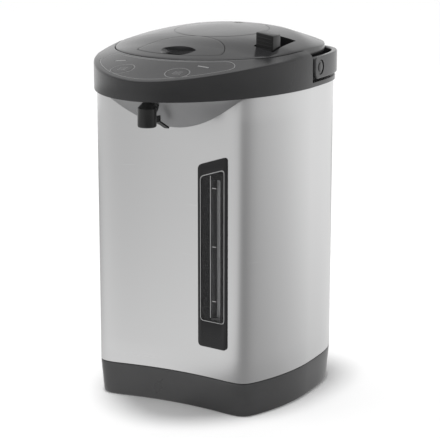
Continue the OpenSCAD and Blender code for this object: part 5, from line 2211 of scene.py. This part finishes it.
@dataclass
class Studio:
    """A pale floor, soft light, a reflecting wall and the camera.

    The camera's numbers are in millimetres and degrees, the rest of the studio's in metres.
    ``tones`` holds, by direction in degrees, the wall's tone far off, the floor's painted tone near the pot
    with its painted shade and light, and the tone high up.
    """

    azimuth: float = 28.295
    elevation: float = 12.751
    distance: float = 1606.2
    lens: float = 131.35
    sensor: float = 36.0
    shift: Pair = (0.0114, -0.0384)
    clip: Pair = (0.05, 50.0)
    target: Point = (0.0, 0.0, 185.65)
    floor_size: float = 14.0
    floor_grey: float = 0.92
    floor_rough: float = 0.9
    floor_gloss: float = 0.1
    wall_radius: float = 2.6
    wall_height: float = 4.0
    wall_foot: float = 0.002
    lift: float = 0.05
    sky: float = 0.46
    sun: float = 1.80
    sun_angle: float = 9.0
    sun_way: Point = (0.012, 0.055, -1.0)
    lamp_aim: Point = (0.0, 0.0, 0.2)
    painted_near_run: Pair = (0.25, 1.3)
    far_run: Pair = (1.4, 1.8)
    high_run: Pair = (0.9, 2.4)
    high_share: float = 0.5
    # Each row: direction, far, near and high tone; the near tone is painted shade and light on the floor by
    # the pot.
    tones: Tuple[Tuple[float, float, float, float], ...] = (
        (-180.0, 0.50, 0.62, 1.0),
        (-140.0, 0.41, 0.54, 1.0),
        (-95.0, 0.47, 0.66, 0.95),
        (-54.0, 0.62, 0.85, 0.80),
        (-28.0, 0.66, 0.89, 0.72),
        (-6.0, 0.53, 0.76, 0.62),
        (12.0, 0.36, 0.47, 0.50),
        (35.0, 0.30, 0.34, 0.45),
        (75.0, 0.38, 0.40, 0.50),
        (102.0, 0.52, 0.54, 0.65),
        (125.0, 0.76, 0.70, 0.85),
        (150.0, 1.0, 0.84, 1.0),
        (180.0, 0.90, 0.85, 1.0),
    )

    @staticmethod
    def place(name: str, data: bpy.types.ID, way: Vector) -> Piece:
        """Puts a lamp or the camera in the scene, facing along a direction.

        Args:
            name: its name.
            data: the lamp's or the camera's own data.
            way: the direction that it faces.

        Returns:
            The lamp or the camera.
        """
        made = bpy.data.objects.new(name, data)
        bpy.context.scene.collection.objects.link(made)
        made.rotation_mode = "QUATERNION"
        made.rotation_quaternion = way.to_track_quat("-Z", "Y")
        return made

    def camera(self) -> None:
        """Sets the camera."""
        a, e = math.radians(self.azimuth), math.radians(self.elevation)
        look = Vector((-math.sin(a) * math.cos(e), math.cos(a) * math.cos(e), -math.sin(e)))
        data = bpy.data.cameras.new("camera")
        data.sensor_width = self.sensor
        data.lens = self.lens
        data.shift_x, data.shift_y = self.shift
        data.clip_start, data.clip_end = self.clip
        camera = self.place("camera", data, look)
        camera.location = Vector(to_frame(np.array(self.target))) - look * self.distance * MM
        bpy.context.scene.camera = camera

    def glow(self, tree: Tree) -> Socket:
        """The tone that reflections find round the pot: by direction, near or far, and high up. On the floor
        it is a painted reflection, with painted shade and light near the pot.

        Args:
            tree: the material's nodes.

        Returns:
            What an emission shader with that tone gives.
        """
        split = add(tree, "SeparateXYZ", Vector=add(tree, "TexCoord").outputs["Object"])
        x, y, z = split.outputs
        angle = calculate(tree, "ARCTAN2", x, calculate(tree, "MULTIPLY", y, -1.0))
        ramp = add(tree, "ValToRGB", Fac=stretch(tree, angle, -math.pi, math.pi))
        ramp.color_ramp.interpolation = "CARDINAL"
        while len(ramp.color_ramp.elements) < len(self.tones):
            ramp.color_ramp.elements.new(0.5)
        for element, (degrees, *tones) in zip(ramp.color_ramp.elements, self.tones):
            element.position = (degrees + 180) / 360
            element.color = (*tones, 1)
        far, near, high = add(tree, "SeparateColor", Color=ramp.outputs["Color"]).outputs
        flat = add(tree, "CombineXYZ", X=x, Y=y).outputs[0]
        away = add(tree, "VectorMath", operation="LENGTH", Vector=flat).outputs["Value"]
        tone = add(tree, "Mix", Factor=stretch(tree, away, *self.painted_near_run), A=near, B=far)
        off = stretch(tree, away, *self.far_run)
        upper = add(tree, "Mix", Factor=off, A=tone.outputs["Result"], B=high)
        overhead = stretch(tree, z, *self.high_run, 1.0, self.high_share)
        strength = calculate(tree, "MULTIPLY", upper.outputs["Result"], overhead)
        return add(tree, "Emission", Color=WHITE, Strength=strength).outputs[0]

    def floor(self) -> None:
        """The floor, which takes the pot's soft shadow; to reflections it shows a painted tone, with painted
        shade and light near the pot.
        """
        deselect()
        bpy.ops.mesh.primitive_plane_add(size=self.floor_size)
        floor = bpy.context.active_object
        floor.name = "floor"
        made = new_material("floor")
        tree = made.node_tree
        grey = (self.floor_grey, self.floor_grey, self.floor_grey, 1)
        shader = tree.nodes["Principled BSDF"]
        set_up(tree, shader, Base_Color=grey, Roughness=self.floor_rough, Specular_IOR_Level=self.floor_gloss)
        path = add(tree, "LightPath").outputs
        seen = calculate(tree, "MAXIMUM", path["Is Camera Ray"], path["Is Transmission Ray"])
        lift = add(tree, "Emission", Color=WHITE, Strength=calculate(tree, "MULTIPLY", seen, self.lift))
        both = add(tree, "AddShader")
        feed(tree, both.inputs[0], shader.outputs[0])
        feed(tree, both.inputs[1], lift.outputs[0])
        # Reflections see the floor as a glow of painted tone, with painted shade and light near the pot.
        either = add(tree, "MixShader", Fac=path["Is Glossy Ray"])
        feed(tree, either.inputs[1], both.outputs[0])
        feed(tree, either.inputs[2], self.glow(tree))
        set_up(tree, tree.nodes["Material Output"], Surface=either.outputs[0])
        floor.data.materials.append(made)

    def wall(self) -> None:
        """The round studio wall that the steel and the gloss reflect. Only reflections see it."""
        deselect()
        bpy.ops.mesh.primitive_cylinder_add(
            vertices=128, radius=self.wall_radius, depth=self.wall_height, end_fill_type="NOTHING",
            location=(0, 0, self.wall_height / 2 + self.wall_foot),
        )
        wall = bpy.context.active_object
        wall.name = "studio_wall"
        bpy.ops.object.transform_apply(location=True, rotation=True, scale=True)
        made = new_material("studio_wall")
        tree = made.node_tree
        tree.nodes.remove(tree.nodes["Principled BSDF"])
        set_up(tree, tree.nodes["Material Output"], Surface=self.glow(tree))
        wall.data.materials.append(made)
        for ray in ("camera", "diffuse", "shadow", "transmission"):
            setattr(wall, f"visible_{ray}", False)

    def room(self) -> None:
        """The plain surroundings: white where it is seen, softer as a light."""
        world = bpy.data.worlds.new("room")
        bpy.context.scene.world = world
        world.use_nodes = True
        tree = world.node_tree
        path = add(tree, "LightPath").outputs
        seen = calculate(tree, "MAXIMUM", path["Is Camera Ray"], path["Is Glossy Ray"])
        also = calculate(tree, "MAXIMUM", seen, path["Is Transmission Ray"])
        strength = stretch(tree, also, 0.0, 1.0, self.sky, 1.0)
        set_up(tree, tree.nodes["Background"], Color=WHITE, Strength=strength)

    def overhead(self) -> None:
        """The soft light from above, which gives the pot its shadow on the floor."""
        data = bpy.data.lights.new("overhead", "SUN")
        data.energy = self.sun
        data.angle = math.radians(self.sun_angle)
        lamp = self.place("overhead", data, Vector(self.sun_way))
        lamp.visible_glossy = False

    def lamp(self, name: str, place: Point, size: float, power: float) -> Piece:
        """One soft box that faces the pot, with its place in metres.

        Args:
            name: its name.
            place: where it stands.
            size: how broad it is.
            power: its strength in watts.

        Returns:
            The lamp.
        """
        data = bpy.data.lights.new(name, "AREA")
        data.shape = "SQUARE"
        data.size = size
        data.energy = power
        lamp = self.place(name, data, Vector(self.lamp_aim) - Vector(place))
        lamp.location = place
        return lamp

    def build(self) -> None:
        """Makes the studio."""
        self.camera()
        self.floor()
        self.wall()
        self.room()
        self.overhead()
        self.lamp("top_box", (-0.3, 0.3, 1.7), size=1.4, power=3)
        self.lamp("left_box", (-1.6, -0.9, 1.1), size=1.2, power=4).visible_glossy = False
        bpy.context.scene.view_settings.view_transform = "Standard"


def main() -> None:
    """Builds the pot's looks piece by piece, then the studio."""
    logging.basicConfig(level=logging.INFO, format="%(message)s")
    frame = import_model()
    panel = ControlPanel()
    SteelBody().build()
    Base().build()
    spout = Spout()
    Chin().build(spout)
    Collar().build(panel)
    panel.build()
    Lid().build()
    PumpFolds().build()
    ReleaseLever().build()
    Bail().build()
    Gauge().build()
    spout.build()
    Inside(frame["nodes"]).build()
    Studio().build()


if __name__ == "__main__":
    main()
